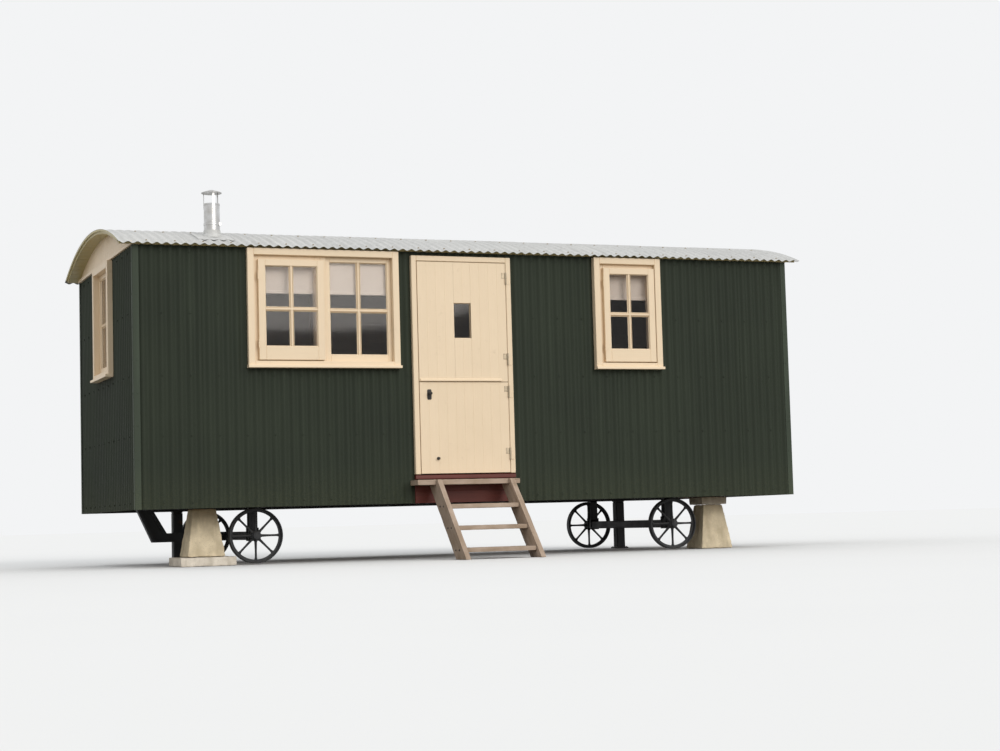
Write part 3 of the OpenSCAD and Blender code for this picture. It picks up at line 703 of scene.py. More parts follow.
@cache
def concrete(name, key, pits=0.5):
    """Cast concrete: blotches, sand grains and air holes."""
    n, base = started(name, key)
    blotch = n.noise(n.place(), 7, 5, 0.6)
    stain = n.noise(n.place(stretch=(1, 1, 0.25)), 11, 4)
    sand = n.noise(n.place(), 210, 3, 0.7)
    holes = n.put("TexVoronoi", {"Vector": n.place(), "Scale": 62.0}).outputs["Distance"]
    hole = n.maths("MULTIPLY", n.spread(holes, 0.2, 0.08), n.spread(blotch, 0.45, 0.6))
    body = n.mix(n.spread(blotch, 0.3, 0.72), shade(base, 0.7, (1, 0.97, 0.92)), shade(base, 1.2))
    body = n.wash(body, stain, 0.48, 0.72, 0.6, shade(base, 0.5, (1, 0.96, 0.84)))
    body = n.wash(body, sand, 0.3, 0.75, 0.3, shade(base, 0.66))
    body = n.mix(n.maths("MULTIPLY", hole, pits), body, shade(base, 0.35))
    height = n.maths("SUBTRACT", n.maths("MULTIPLY", sand, 0.5), n.maths("MULTIPLY", hole, pits))
    return n.surface(body, 0.88, n.bump(height, 0.7, 0.003), Specular_IOR_Level=0.25)


# What a pane mirrors seen straight on, and how fast that share grows towards a slant
MIRROR_LEAST = 0.017
MIRROR_FALL = 5.0


@cache
def pane_glass():
    """Thin clear window glass with a faint dust film, which mirrors a little."""
    n, base = started("pane_glass", "glass")
    film = n.noise(n.place(), 6, 4)
    wave = n.bump(n.noise(n.place(), 2.5, 1), 0.05, 0.002)
    clear = n.put("BsdfTransparent", {0: n.mix(film, shade(base, 1.0), shade(base, 0.94))})
    mirror = n.put("BsdfGlossy", {"Roughness": 0.03, "Normal": wave})
    slant = n.put("LayerWeight", {"Blend": 0.5}).outputs["Facing"]
    share = n.spread(n.maths("POWER", slant, MIRROR_FALL), 0, 1, MIRROR_LEAST, 1.0)
    both = n.put("MixShader", {0: share, 1: clear.outputs[0], 2: mirror.outputs[0]})
    n.put("OutputMaterial", {"Surface": both.outputs[0]})
    return n.material


# Scale of the weave's waves
THREADS = 420.0


@cache
def blind_cloth():
    """Plain woven roller blind."""
    n, base = started("blind_cloth", "cloth")
    warp, weft = (n.put("TexWave", {"Vector": n.place(turn=(0, 0, math.radians(turn))),
                                    "Scale": THREADS}, bands_direction=way).outputs[1]
                  for turn, way in ((0, "Z"), (45, "X")))
    weave = n.maths("ADD", warp, weft)
    slub = n.noise(n.place(stretch=(1, 1, 30)), 9, 3)
    body = n.mix(n.spread(slub, 0.35, 0.7), shade(base, 1.0), shade(base, 0.93, (1, 0.99, 0.97)))
    return n.surface(body, 0.85, n.bump(weave, 0.2, 0.0004), Sheen_Weight=0.15)


def structural():
    """Sawn timber of the walls' core, the floor and the joists."""
    return bare_wood("structural_timber", "timber", 0.55)


def red_wood():
    """Oiled red-brown wood at the foot of the door."""
    return bare_wood("threshold_wood", "hardwood", 0.5, roughness=0.5)


# Walls


# How far the inside of the gables lies behind the walls' ends
GABLE_DEPTH = 0.0603
# Width and spacing of the studs, and height of the plates that they stand between
STUD_W = 0.045
STUD_STEP = 0.6
PLATE_H = 0.05
# Heights of the screw rows above the walls' lower edge, and how clear they stay of openings
SCREW_ROWS = (0.05, 0.58, 1.06, 1.56, 2.05)
SCREW_MARGIN = 0.03


def wave(x, depth):
    """How far the corrugation lies behind its crests."""
    return depth * (1 - math.cos(2 * math.pi * x / sizes("iron").pitch)) / 2


def inside(holes, x, z):
    """Tells whether a point of a face lies in one of its holes."""
    return any(h[0] < x < h[1] and h[2] < z < h[3] for h in holes)


def outside(holes, xs, zs):
    """Tells whether a cell of the grid lies clear of the holes."""
    return lambda i, j: not inside(holes, (xs[i] + xs[i + 1]) / 2, (zs[j] + zs[j + 1]) / 2)


def stops(start, end, between):
    """The lines of a grid from start to end, with those of between that lie inside."""
    return levels([(x,) for x in (start, end, *[e for e in between if start < e < end])], 0)


def sheets(length):
    """(number, start, end) of each lapped sheet along a face; odd ones lie on top."""
    iron = sizes("iron")
    cover, lap = iron.pitch * iron.sheet_waves, iron.pitch * 0.75
    for k in range(math.ceil(length / cover)):
        over = lap * (k % 2)
        yield k, max(0.0, k * cover - over), min(length, (k + 1) * cover + over)


def wave_lines(start, end, edges=()):
    """Where a corrugated sheet has its facets, with the edges of its holes."""
    step = sizes("iron").pitch / sizes("iron").facets
    facets = [i * step for i in range(math.floor(start / step) + 1, math.ceil(end / step))]
    return stops(start, end, [*facets, *edges])


def iron_skin(maker, x0, x1, z0, z1, holes):
    """Corrugated sheets on a face, crests out, cut round its holes."""
    iron = sizes("iron")
    zs = stops(z0, z1, [e for h in holes for e in h[2:]])
    for k, start, end in sheets(x1):
        start = max(start, x0)
        if end - start < iron.pitch / iron.facets:
            continue
        xs = wave_lines(start, end, [e for h in holes for e in h[:2]])
        set_back = iron.lap_step * (1 - k % 2)
        ys = [set_back + wave(x, iron.wall_depth - iron.lap_step) for x in xs]
        front = [[(x, y, z) for z in zs] for x, y in zip(xs, ys)]
        back = [[(x, y + iron.gauge, z) for z in zs] for x, y in zip(xs, ys)]
        maker.slab(front, back, outside(holes, xs, zs))


def iron_screws(maker, x0, x1, heights, holes):
    """Rows of roofing screws on the crests, clear of the holes."""
    iron, gap = sizes("iron"), SCREW_MARGIN
    every = iron.pitch * iron.screw_every
    near = [(h[0] - gap, h[1] + gap, h[2] - gap, h[3] + gap) for h in holes]
    for i in range(math.ceil((x0 + gap) / every), math.floor((x1 - gap) / every) + 1):
        for z in heights:
            if not inside(near, i * every, z):
                at = (i * every, iron.lap_step / 2, z)
                maker.stud(at, (0, -1, 0), iron.screw_r, iron.screw_h)


def timber_core(maker, x0, x1, z0, z1, holes, y0, y1):
    """Plates, studs and sheathing between the iron and the lining."""
    plate = min(PLATE_H, (z1 - z0) / 2)
    maker.bar((x0, y0, z0), (x1, y1, z0 + plate))
    maker.bar((x0, y0, z1 - plate), (x1, y1, z1))
    count = max(1, round((x1 - x0) / STUD_STEP))
    places = [x0 + (x1 - x0 - STUD_W) * i / count for i in range(count + 1)]
    places += [h[0] - STUD_W for h in holes] + [h[1] for h in holes]
    for x in places:
        gaps = [h[2:] for h in holes if h[0] < x + STUD_W and x < h[1] - SAME_POINT
                and not abs(x + STUD_W - h[0]) < SAME_POINT]
        for low, high in spans(z0 + plate, z1 - plate, gaps):
            if x0 - SAME_POINT <= x and x + STUD_W <= x1 + SAME_POINT:
                maker.bar((x, y0, low), (x + STUD_W, y1, high))
    xs = stops(x0, x1, [e for h in holes for e in h[:2]])
    zs = stops(z0, z1, [e for h in holes for e in h[2:]])
    front, back = ([[(x, y, z) for z in zs] for x in xs]
                   for y in (y0, y0 + sizes("wood").lining_t))
    maker.slab(front, back, outside(holes, xs, zs))


def window_holes(face):
    """The window openings of one face, as (x0, x1, z0, z1), from the frames' outer edges."""
    nodes = {"front": ("double_window_frame", "small_window_frame"),
             "back": ("back_window_frame",)}.get(face, ("end_window_frames",))
    holes = []
    for node in nodes:
        for points in on_face(node, face):
            xs = levels(points, 0)
            holes.append((xs[1], xs[-2], lowest(points).z, highest(points).z))
    return holes


def wall(node, face, whole=None):
    """One wall node: iron skin, timber core and inside boards, cut round its windows."""
    low, high = extent(solids(node, FACES[face])[0])
    maker, wood, iron = Maker(node + "_cladding", FACES[face]), sizes("wood"), sizes("iron")
    x0, x1 = whole or (low.x, high.x)
    a, b, length, long_wall = low.x, high.x, RIGHT - LEFT, face in ("front", "back")
    behind, lined, head = iron.wall_depth + iron.gauge, high.y - wood.lining_t, high.z + 1
    holes = window_holes(face)
    skin_holes = list(holes)
    if long_wall:
        a, b = max(a, behind), min(b, length - behind)
        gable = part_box("gable_panels")[0].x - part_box("corner_trims")[0].x + GABLE_DEPTH
        skin_holes += [(-1, gable, GABLE_LINE, head),
                       (length - gable, length + 1, GABLE_LINE, head)]
    iron_skin(maker, x0, x1, low.z, min(high.z, under_roof(FRONT)), skin_holes)
    heights = [WALL_LOW + h for h in SCREW_ROWS if low.z < WALL_LOW + h < high.z]
    maker.paint = 1
    iron_screws(maker, x0, x1, heights, skin_holes)
    maker.paint = 2
    foot, top = max(low.z, WALL_LOW + iron.drip), min(high.z, GABLE_LINE)
    timber_core(maker, a, b, foot, top, holes, behind, lined)
    maker.paint = 3
    foot = max(low.z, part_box("floor")[1].z)
    boarding(maker, a, b, foot, top, lined, high.y, wood.board_w, holes)
    if long_wall:
        top = [(behind, GABLE_LINE), (high.y, GABLE_LINE), (high.y, under_roof(FRONT + high.y)),
               (behind, under_roof(FRONT + behind))]
        for start, end in spans(a, b, [h[:2] for h in skin_holes if h[2] >= GABLE_LINE]):
            maker.prism(top, 0, start, end)
    maker.make([wall_paint(), wall_paint(), structural(), cream_paint("lining_paint", "lining")],
               [node], slot="green_iron")


def build_walls():
    """Every wall node, and the red-brown boards under the door."""
    wide = BACK - FRONT
    for node in ("front_wall_left", "front_wall_right", "front_wall_over_door"):
        wall(node, "front")
    wall("back_wall", "back")
    wall("left_end_wall", "left", (0.0, wide))
    wall("right_end_wall", "right", (0.0, wide))
    low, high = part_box("front_wall_under_door")
    maker, wood = Maker("under_door_boards"), sizes("wood")
    for y0, y1 in ((low.y, low.y + wood.lining_t), (low.y + wood.lining_t, high.y)):
        boarding(maker, low.x, high.x, low.z, high.z, y0, y1, wood.board_w)
    maker.make([red_wood()], ["front_wall_under_door"], slot="hardwood")


# Rounding of the folded angles, screws down each leg, and the screws' radius and height
TRIM_ROUND = 0.004
TRIM_SCREWS = 8
TRIM_SCREW = (0.006, 0.004)


def build_corner_trims():
    """Folded angles with a rounded corner and a row of screws down each leg."""
    maker = Maker("corner_angles")
    for points in solids("corner_trims"):
        low, high = extent(points)
        sx = 1 if low.x < 0 else -1
        sy = 1 if low.y < MIDDLE_Y else -1
        x, y = (low.x, high.x)[sx < 0], (low.y, high.y)[sy < 0]
        leg = high.x - low.x
        thick = min(levels(points, 0)[1] - low.x, high.x - levels(points, 0)[-2])
        outline = [(leg, 0), (leg, thick), (thick, thick), (thick, leg), (0, leg), (0, TRIM_ROUND)]
        outline += [(TRIM_ROUND * (1 - math.cos(a)), TRIM_ROUND * (1 - math.sin(a)))
                    for a in (math.pi / 6, math.pi / 3)] + [(TRIM_ROUND, 0)]
        maker.prism([(x + sx * u, y + sy * v) for u, v in outline], 2, low.z, high.z)
        for i in range(TRIM_SCREWS):
            z, in_leg = low.z + (high.z - low.z) * (i + 0.5) / TRIM_SCREWS, leg * 0.6
            maker.stud((x + sx * in_leg, y, z), (0, -sy, 0), *TRIM_SCREW)
            maker.stud((x, y + sy * in_leg, z), (-sx, 0, 0), *TRIM_SCREW)
    maker.make([wall_paint("trim_paint", "trim")], ["corner_trims"], slot="corner_metal")


# Roof


# How far the gables' front layer stands out, and height and worn edge of the lip at its foot
GABLE_PROUD = 0.014
LIP_H = 0.03
LIP_EDGE = 0.004
# Facets of the roof iron from eave to eave
ROOF_STEPS = 22
# Screws across the roof, as shares of the way from the crown to an eave
ROOF_SCREWS = (-0.965, -0.62, -0.21, 0.21, 0.62, 0.965)
# End battens: how far they lap the boards, their room under the iron, and stations along them
BATTEN_LAP = 0.005
BATTEN_GAP = 0.0008
BATTEN_STEPS = 6
# Room round the flue in the boards, and how far a board must stay clear to run past it
FLUE_ROOM = 0.002
FLUE_CLEAR = 0.04


def build_gables():
    """Upright boards under the roof at each end, with a moulding along their foot."""
    wood = sizes("wood")
    maker = Maker("gable_boards")
    for low, high in boxes("gable_panels"):
        out = -1 if low.x < 0 else 1
        face = low.x if out < 0 else high.x
        count = round((high.y - low.y) / wood.board_w)
        step = (high.y - low.y) / count
        for i in range(count):
            y0, y1 = low.y + i * step, low.y + (i + 1) * step
            a, b, c = (under_roof(y) for y in (y0, (y0 + y1) / 2, y1))
            for inset, near, far in ((wood.groove / 2, 0.0, GABLE_PROUD),
                                     (0.0, GABLE_PROUD, high.x - low.x)):
                outline = [(y0 + inset, GABLE_LINE), (y1 - inset, GABLE_LINE), (y1 - inset, c),
                           ((y0 + y1) / 2, b), (y0 + inset, a)]
                maker.prism(outline, 0, face - out * near, face - out * far)
        x0, x1 = sorted((face, face + out * GABLE_PROUD))
        maker.bar((x0, low.y, GABLE_LINE), (x1, high.y, GABLE_LINE + LIP_H), LIP_EDGE)
    maker.make([cream_paint()], ["gable_panels"], slot="cream_paint")


def arc_points(radius, angles, x):
    """Points of an arc of that radius about the roof's axis."""
    axis = roof_arc()[1]
    return [(x, MIDDLE_Y + radius * math.sin(a), axis + radius * math.cos(a)) for a in angles]


def roof_bends(half):
    """The angles of the roof iron's facets, from -half to half."""
    return [-half + 2 * half * i / ROOF_STEPS for i in range(ROOF_STEPS + 1)]


def build_roof_boards():
    """Grooved boards along the hut under the iron."""
    wood = sizes("wood")
    low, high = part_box("roof_boards")
    outer = roof_arc()[0] - sizes("iron").roof_depth
    inner = outer - wood.roof_board_t
    half = math.asin((high.y - MIDDLE_Y) / outer)
    count = round(2 * half * inner / wood.board_w)
    flue = flue_place()
    bend, room = math.asin((flue.y - MIDDLE_Y) / outer), flue_radius() + FLUE_ROOM
    maker = Maker("soffit_boards")
    for i in range(count):
        start, end = (-half + 2 * half * (i + s) / count for s in (0, 1))
        cut = wood.groove / 2 / inner
        near = abs((start + end) / 2 - bend) * inner < room + FLUE_CLEAR
        gaps = [(flue.x - room, flue.x + room)] if near else []
        for x0, x1 in spans(low.x, high.x, gaps):
            rings = []
            for x in (x0, x1):
                ring = arc_points(outer, (start, (start + end) / 2, end), x)
                ring += arc_points(inner + wood.groove, (end,), x)
                ring += arc_points(inner, (end - cut * 2, (start + end) / 2, start + cut * 2), x)
                ring += arc_points(inner + wood.groove, (start,), x)
                rings.append(ring)
            maker.loft(rings)
    end_battens(maker, half, outer - BATTEN_GAP)
    # The boards take a darker, olive copy of the cream paint as painted shade
    maker.make([cream_paint("soffit_varnish", "soffit")], ["roof_boards"], slot="cream_paint")


def end_battens(maker, half, foot):
    """Battens that close the gap between the boards and the iron's wave at both ends."""
    iron, radius = sizes("iron"), roof_arc()[0]
    (low, high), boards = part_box("roof_sheet"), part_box("roof_boards")
    bends = roof_bends(math.asin((MIDDLE_Y - low.y) / radius))
    bends = [-half, *[a for a in bends if abs(a) < half], half]
    for start, end in ((low.x + BATTEN_GAP, boards[0].x + BATTEN_LAP),
                       (boards[1].x - BATTEN_LAP, high.x - BATTEN_GAP)):
        rings = []
        for i in range(BATTEN_STEPS + 1):
            x = start + (end - start) * i / BATTEN_STEPS
            under = iron.lap_step + iron.gauge + BATTEN_GAP
            under += wave(x - low.x, iron.roof_depth - iron.lap_step - iron.gauge)
            rings.append(arc_points(radius - under, bends, x)
                         + arc_points(foot, bends[::-1], x))
        maker.loft(rings)


def build_roof_sheet():
    """Curved corrugated sheets from eave to eave, with laps, screws and cut edges."""
    iron = sizes("iron")
    low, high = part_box("roof_sheet")
    radius = roof_arc()[0]
    half = math.asin((high.y - MIDDLE_Y) / radius)
    angles = roof_bends(half)
    maker = Maker("roof_iron")
    length = high.x - low.x
    flue = flue_place()
    for k, start, end in sheets(length):
        xs = wave_lines(start, end)
        set_back = iron.lap_step * (1 - k % 2)
        rs = [radius - set_back - wave(x, iron.roof_depth - iron.lap_step - iron.gauge) for x in xs]
        front = [arc_points(r, angles, low.x + x) for x, r in zip(xs, rs)]
        back = [arc_points(r - iron.gauge, angles, low.x + x) for x, r in zip(xs, rs)]
        size = flue_radius()

        def clear(i, j, xs=xs):
            x = low.x + (xs[i] + xs[i + 1]) / 2
            y = MIDDLE_Y + radius * math.sin((angles[j] + angles[j + 1]) / 2)
            return math.hypot(x - flue.x, y - flue.y) > size

        maker.slab(front, back, clear)
    maker.paint = 1
    every = iron.pitch * iron.screw_every
    for i in range(1, math.floor(length / every) + 1):
        x = low.x + i * every
        for share in ROOF_SCREWS:
            bend = half * share
            at = Vector(arc_points(radius - iron.lap_step / 2, (bend,), x)[0])
            if math.hypot(at.x - flue.x, at.y - flue.y) > FLASHING_W:
                maker.stud(at, (0, math.sin(bend), math.cos(bend)), iron.screw_r, iron.screw_h)
    maker.make([galvanised(), bright_steel("screw_zinc", "hinge", 0.8, 0.4)], ["roof_sheet"],
               slot="galvanised_iron")


# Windows


# Worn edges of the frames, and width and thickness of the architrave inside
FRAME_EDGE = 0.003
ARCHITRAVE_W = 0.03
ARCHITRAVE_T = 0.012
# Cells across and down a blind, and how far its cloth ripples at the hem
BLIND_CELLS = (24, 18)
BLIND_RIPPLE = 0.0011
CLOTH_T = 0.0006


def sill(maker, x0, x1, out, z0, thick):
    """A sloped sill with a rounded nose and a drip groove."""
    drip, deep, nose, fall = 0.012, 0.004, 0.006, 0.005
    top = z0 + thick - fall
    outline = [(0, z0), (-out + drip + deep, z0), (-out + drip + deep, z0 + deep),
               (-out + drip, z0 + deep), (-out + drip, z0), (-out + 0.002, z0), (-out, z0 + 0.002),
               (-out, top - nose), (-out + nose * 0.3, top - nose * 0.3), (-out + nose, top),
               (0, z0 + thick)]
    maker.prism(outline, 0, x0, x1)


def frame_ring(maker, x0, x1, y0, y1, z0, z1, side, top, bottom, edge=FRAME_EDGE):
    """Two stiles with a head and a bottom rail between them."""
    maker.bar((x0, y0, z0), (x0 + side, y1, z1), edge)
    maker.bar((x1 - side, y0, z0), (x1, y1, z1), edge)
    maker.bar((x0 + side, y0, z1 - top), (x1 - side, y1, z1), edge)
    maker.bar((x0 + side, y0, z0), (x1 - side, y1, z0 + bottom), edge)


def window_frame(maker, points, lights, opening):
    """A proud frame with its sill, posts between its lights and a rebate behind opening ones."""
    w = sizes("windows")
    xs, ys, zs = (levels(points, k) for k in range(3))
    x0, x1, y0, y1, z0, z1 = xs[1], xs[-2], ys[1], ys[-1], zs[0], zs[-1]
    frame_ring(maker, x0, x1, y0, y1, z0, z1, w.face, w.face, w.face)
    sill(maker, xs[0], xs[-1], -ys[0], z0 - 0.0005, zs[1] - z0)
    middle, half, low, high = (x0 + x1) / 2, w.mullion / 2, z0 + w.face, z1 - w.face
    ends = [(x0 + w.face, x1 - w.face)]
    if lights == 2:
        maker.bar((middle - half, 0, low), (middle + half, y1, high), FRAME_EDGE)
        ends = [(x0 + w.face, middle - half), (middle + half, x1 - w.face)]
    for a, b in ends[:opening]:
        frame_ring(maker, a, b, 0.0, y1, low, high, w.rebate, w.rebate, w.rebate, 0.002)
    # An inside architrave covers the joint to the lining
    wide, foot = ARCHITRAVE_W, z0 - ARCHITRAVE_W
    for a, b, top in ((x0 - wide, x0, z1), (x1, x1 + wide, z1), (x0, x1, z0)):
        maker.bar((a, WALL_T, foot), (b, WALL_T + ARCHITRAVE_T, top), FRAME_EDGE)


def fillet(maker, a, b, out, inward, size):
    """A three-cornered strip of putty from a to b."""
    a, b, out, inward = Vector(a), Vector(b), Vector(out), Vector(inward)
    maker.loft([[p, p + out * size, p + inward * size] for p in (a, b)])


# Share of its depth by which the level glazing bar lies behind the upright one
CROSS_SINK = 0.06


def sash(maker, points, pane):
    """Stiles and rails round a pane, moulded bars across it, and putty round each square."""
    w = sizes("windows")
    low, high = extent(points)
    g0, g1 = pane
    frame_ring(maker, low.x, high.x, low.y, high.y, low.z, high.z,
               g0.x - low.x, high.z - g1.z, g0.z - low.z, 0.0025)
    cx, cz = (g0.x + g1.x) / 2, w.level_bar
    half, nose = w.bar_w / 2, w.bar_nose / 2
    for y_out, y_in in ((low.y + 0.003, g0.y), (high.y - 0.003, g1.y)):
        sunk = y_out + (y_in - y_out) * CROSS_SINK
        upright = [(-half, y_in), (-nose, y_out), (nose, y_out), (half, y_in)]
        level = [(-half, y_in), (-nose, sunk), (nose, sunk), (half, y_in)]
        maker.loft([[(cx + u, y, z) for u, y in upright] for z in (g0.z, g1.z)])
        maker.loft([[(x, y, cz + u) for u, y in level] for x in (g0.x, g1.x)])
    s = w.putty
    for x0, x1 in ((g0.x, cx - half), (cx + half, g1.x)):
        for z0, z1 in ((g0.z, cz - half), (cz + half, g1.z)):
            for y, out in ((g0.y, (0, -1, 0)), (g1.y, (0, 1, 0))):
                fillet(maker, (x0, y, z0), (x1, y, z0), out, (0, 0, 1), s)
                fillet(maker, (x0, y, z1), (x1, y, z1), out, (0, 0, -1), s)
                fillet(maker, (x0, y, z0), (x0, y, z1), out, (1, 0, 0), s)
                fillet(maker, (x1, y, z0), (x1, y, z1), out, (-1, 0, 0), s)


def casement_iron(maker, points):
    """Two small butt hinges on a casement's left edge, painted over."""
    low, high = extent(points)
    for share in (0.16, 0.84):
        z = low.z + (high.z - low.z) * share
        place = Matrix.Translation((low.x - 0.002, low.y - 0.004, z - 0.035))
        maker.turn([(0, 0), (0.005, 0), (0.005, 0.022), (0.0045, 0.023), (0.005, 0.024),
                    (0.005, 0.046), (0.0045, 0.047), (0.005, 0.048), (0.005, 0.07), (0, 0.07)],
                   place, steps=12)
        maker.bar((low.x, low.y - 0.0016, z - 0.034), (low.x + 0.024, low.y, z + 0.034), 0.0006)


# Frame, wall, lights, how many of them open, and the sashes with whether each opens
WINDOWS = (
    ("double_window_frame", "front", 2, 1, (("casement", True), ("fixed_sash", False))),
    ("small_window_frame", "front", 1, 1, (("small_window_sash", True),)),
    ("end_window_frames", "left", 1, 0, (("end_window_sashes", False),)),
    ("end_window_frames", "right", 1, 0, (("end_window_sashes", False),)),
    ("back_window_frame", "back", 2, 0, (("back_window_sashes", False),)),
)


def pane_of(points, face):
    """The glass that lies inside a sash."""
    low, high = extent(points)
    for glass in on_face("window_glass", face):
        middle = (lowest(glass) + highest(glass)) / 2
        if low.x < middle.x < high.x and low.z < middle.z < high.z:
            return lowest(glass), highest(glass)
    raise RuntimeError("a sash has no pane")


def build_window_frames():
    """Every window's frame, a piece for each face of the walls."""
    for node, face, lights, opening, _ in WINDOWS:
        maker = Maker(f"{node}_{face}", FACES[face])
        for points in on_face(node, face):
            window_frame(maker, points, lights, opening)
        maker.make([cream_paint()], [node], slot="cream_paint")


def build_sashes():
    """The sashes of every window, with hinges on those that open."""
    for _, face, _, _, parts in WINDOWS:
        for node, opens in parts:
            maker = Maker(f"{node}_{face}", FACES[face])
            for points in on_face(node, face):
                sash(maker, points, pane_of(points, face))
                if opens:
                    casement_iron(maker, points)
            maker.make([cream_paint()], [node], slot="cream_paint")


def build_panes():
    """The CAD panes keep their shape and take the glass."""
    for node in ("window_glass", "door_glass"):
        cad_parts[node].data.materials.clear()
        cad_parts[node].data.materials.append(pane_glass())


def build_blinds():
    """Each blind is a hanging cloth with a slat in its hem, on a roller under the window head."""
    w = sizes("windows")
    rollers = Maker("blind_rollers")
    for face in FACES:
        for k, points in enumerate(on_face("window_blinds", face)):
            low, high = extent(points)
            if low.y > WALL_T:
                continue
            name = f"blind_{face}_{k + 1}"
            maker = Maker(name, FACES[face])
            wide, tall, y = high.x - low.x, high.z - low.z, (low.y + high.y) / 2
            columns, rows = BLIND_CELLS
            grid = []
            for i in range(columns + 1):
                x = low.x + wide * i / columns
                line = []
                for j in range(rows + 1):
                    z = low.z + tall * j / rows
                    ripple = BLIND_RIPPLE * math.sin(9 * x + 5 * z) * (1 - j / rows)
                    line.append(Vector((x, y + ripple, z)))
                grid.append(line)
            behind = [[p + Vector((0, CLOTH_T, 0)) for p in line] for line in grid]
            maker.slab(grid, behind)
            cloth = maker.make([blind_cloth()], ["window_blinds"], slot="blind_cloth")
            rollers.place = FACES[face]
            rollers.bar((low.x, y - 0.003, low.z - 0.004), (high.x, y + 0.004, low.z + 0.02),
                        0.0015)
            axis = (low.x, y + w.roller_r + 0.001, high.z - w.roller_r)
            turned = Matrix.Translation(axis) @ Matrix.Rotation(math.pi / 2, 4, "Y")
            rollers.turn([(0, 0), (w.roller_r, 0), (w.roller_r, wide), (0, wide)], turned, 18)
    made = rollers.make([blind_cloth()], ["window_blinds"], slot="blind_cloth")


# Door


# Room round the pane of the upper leaf, and the worn edge of the leaves' timbers
PANE_GAP = 0.0003
LEAF_EDGE = 0.003


def outward(x, y, z):
    """A place whose third axis points away from the door side of the hut."""
    return Matrix.Translation((x, y, z)) @ Matrix.Rotation(math.pi / 2, 4, "X")


def build_door_frame():
    """The surround with its stop, and the sloped threshold with a rounded nose."""
    w = sizes("windows")
    points = solids("door_frame")[0]
    low, high = extent(points)
    maker = Maker("door_surround")
    for x in (low.x, high.x - w.jamb):
        maker.bar((x, low.y, low.z), (x + w.jamb, high.y, high.z), 0.004)
    maker.bar((low.x + w.jamb, low.y, high.z - w.jamb), (high.x - w.jamb, high.y, high.z), 0.004)
    stop = levels(points, 1)[1:3]
    x0, x1, top = low.x + w.jamb, high.x - w.jamb, high.z - w.jamb
    for x in (x0, x1 - w.stop):
        maker.bar((x, stop[0], low.z), (x + w.stop, stop[1], top), 0.002)
    maker.bar((x0 + w.stop, stop[0], top - w.stop), (x1 - w.stop, stop[1], top), 0.002)
    maker.make([cream_paint()], ["door_frame"], slot="cream_paint")

    low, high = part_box("threshold")
    maker = Maker("threshold_board")
    nose, top = 0.008, high.z - 0.006
    outline = [(low.y, low.z), (low.y, top - nose), (low.y + nose * 0.3, top - nose * 0.3),
               (low.y + nose, top), (FRONT + 0.03, high.z), (high.y, high.z), (high.y, low.z)]
    maker.prism(outline, 0, low.x, high.x)
    maker.make([red_wood()], ["threshold"], slot="hardwood")


def leaf(name, node, body, glass=None):
    """A leaf with upright boards outside, stiles and ledges inside, and a pane if it has one."""
    wood = sizes("wood")
    low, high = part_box(node)
    maker = Maker(name)
    y1 = low.y + wood.leaf_board_t
    middle = (low.x + high.x) / 2
    holes = []
    if glass:
        holes = [(glass[0].x - PANE_GAP, glass[1].x + PANE_GAP,
                  glass[0].z - PANE_GAP, glass[1].z + PANE_GAP)]
    pane_low, pane_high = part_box("door_glass")
    half = (pane_high.x - pane_low.x) / 2 + PANE_GAP
    for x0, x1, count in ((low.x, middle - half, 4), (middle - half, middle + half, 2),
                          (middle + half, high.x, 4)):
        width = (x1 - x0) / count
        boarding(maker, x0, x1, low.z, high.z, low.y, y1, width, holes, True, wood.seam)
    for x0, x1 in ((low.x, low.x + wood.board_w), (high.x - wood.board_w, high.x)):
        maker.bar((x0, y1, low.z), (x1, high.y, high.z), LEAF_EDGE)
    x0, x1 = low.x + wood.board_w, high.x - wood.board_w
    heights = [low.z, high.z - wood.ledge_h]
    if glass:
        heights += [glass[0].z - wood.ledge_h, glass[1].z + PANE_GAP]
    for z in heights:
        top = min(z + wood.ledge_h, high.z)
        maker.bar((x0, y1, z), (x1, high.y, top), LEAF_EDGE)
    if glass:
        for a, b in ((x0, glass[0].x), (glass[1].x, x1)):
            maker.bar((a, y1, glass[0].z), (b, high.y, glass[1].z), LEAF_EDGE)
        bead, (a, b, z0, z1) = 0.004, holes[0]
        for y, out in ((glass[0].y, -1), (glass[1].y, 1)):
            near, far = sorted((y, y + out * bead))
            frame_ring(maker, a, b, near, far, z0, z1, bead, bead, bead, 0.001)
        drip = [(low.y, low.z + 0.004), (low.y - 0.014, low.z + 0.004),
                (low.y - 0.014, low.z + 0.012), (low.y, low.z + 0.03)]
        maker.prism(drip, 0, low.x + 0.01, high.x - 0.06)
    else:
        rise = [(x0, y1, low.z + wood.ledge_h), (x0 + 0.1, y1, low.z + wood.ledge_h),
                (x1, y1, high.z - wood.ledge_h), (x1 - 0.1, y1, high.z - wood.ledge_h)]
        maker.loft([rise, [(x, high.y - 0.004, z) for x, _, z in rise]])
    maker.make([cream_paint()], [node], body, "cream_paint")


def build_leaves():
    """The stable door's two leaves, each on its own body."""
    leaf("upper_leaf_boards", "upper_door", "upper_leaf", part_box("door_glass"))
    leaf("lower_leaf_boards", "lower_door", "lower_leaf")


def hinge_plate(maker, low, high, x, out):
    """A plate with rounded screws from the knuckle's axis at x to its own outer edge."""
    plate = 0.003
    a, b = (x, high.x) if out > 0 else (low.x, x)
    maker.bar((a, high.y - plate, low.z + 0.001), (b, high.y, high.z - 0.001), 0.001)
    for share in (0.2, 0.5, 0.8):
        z = low.z + (high.z - low.z) * share
        maker.stud(((a + b) / 2 + out * 0.006, high.y - plate, z), (0, -1, 0), 0.0045, 0.0016)


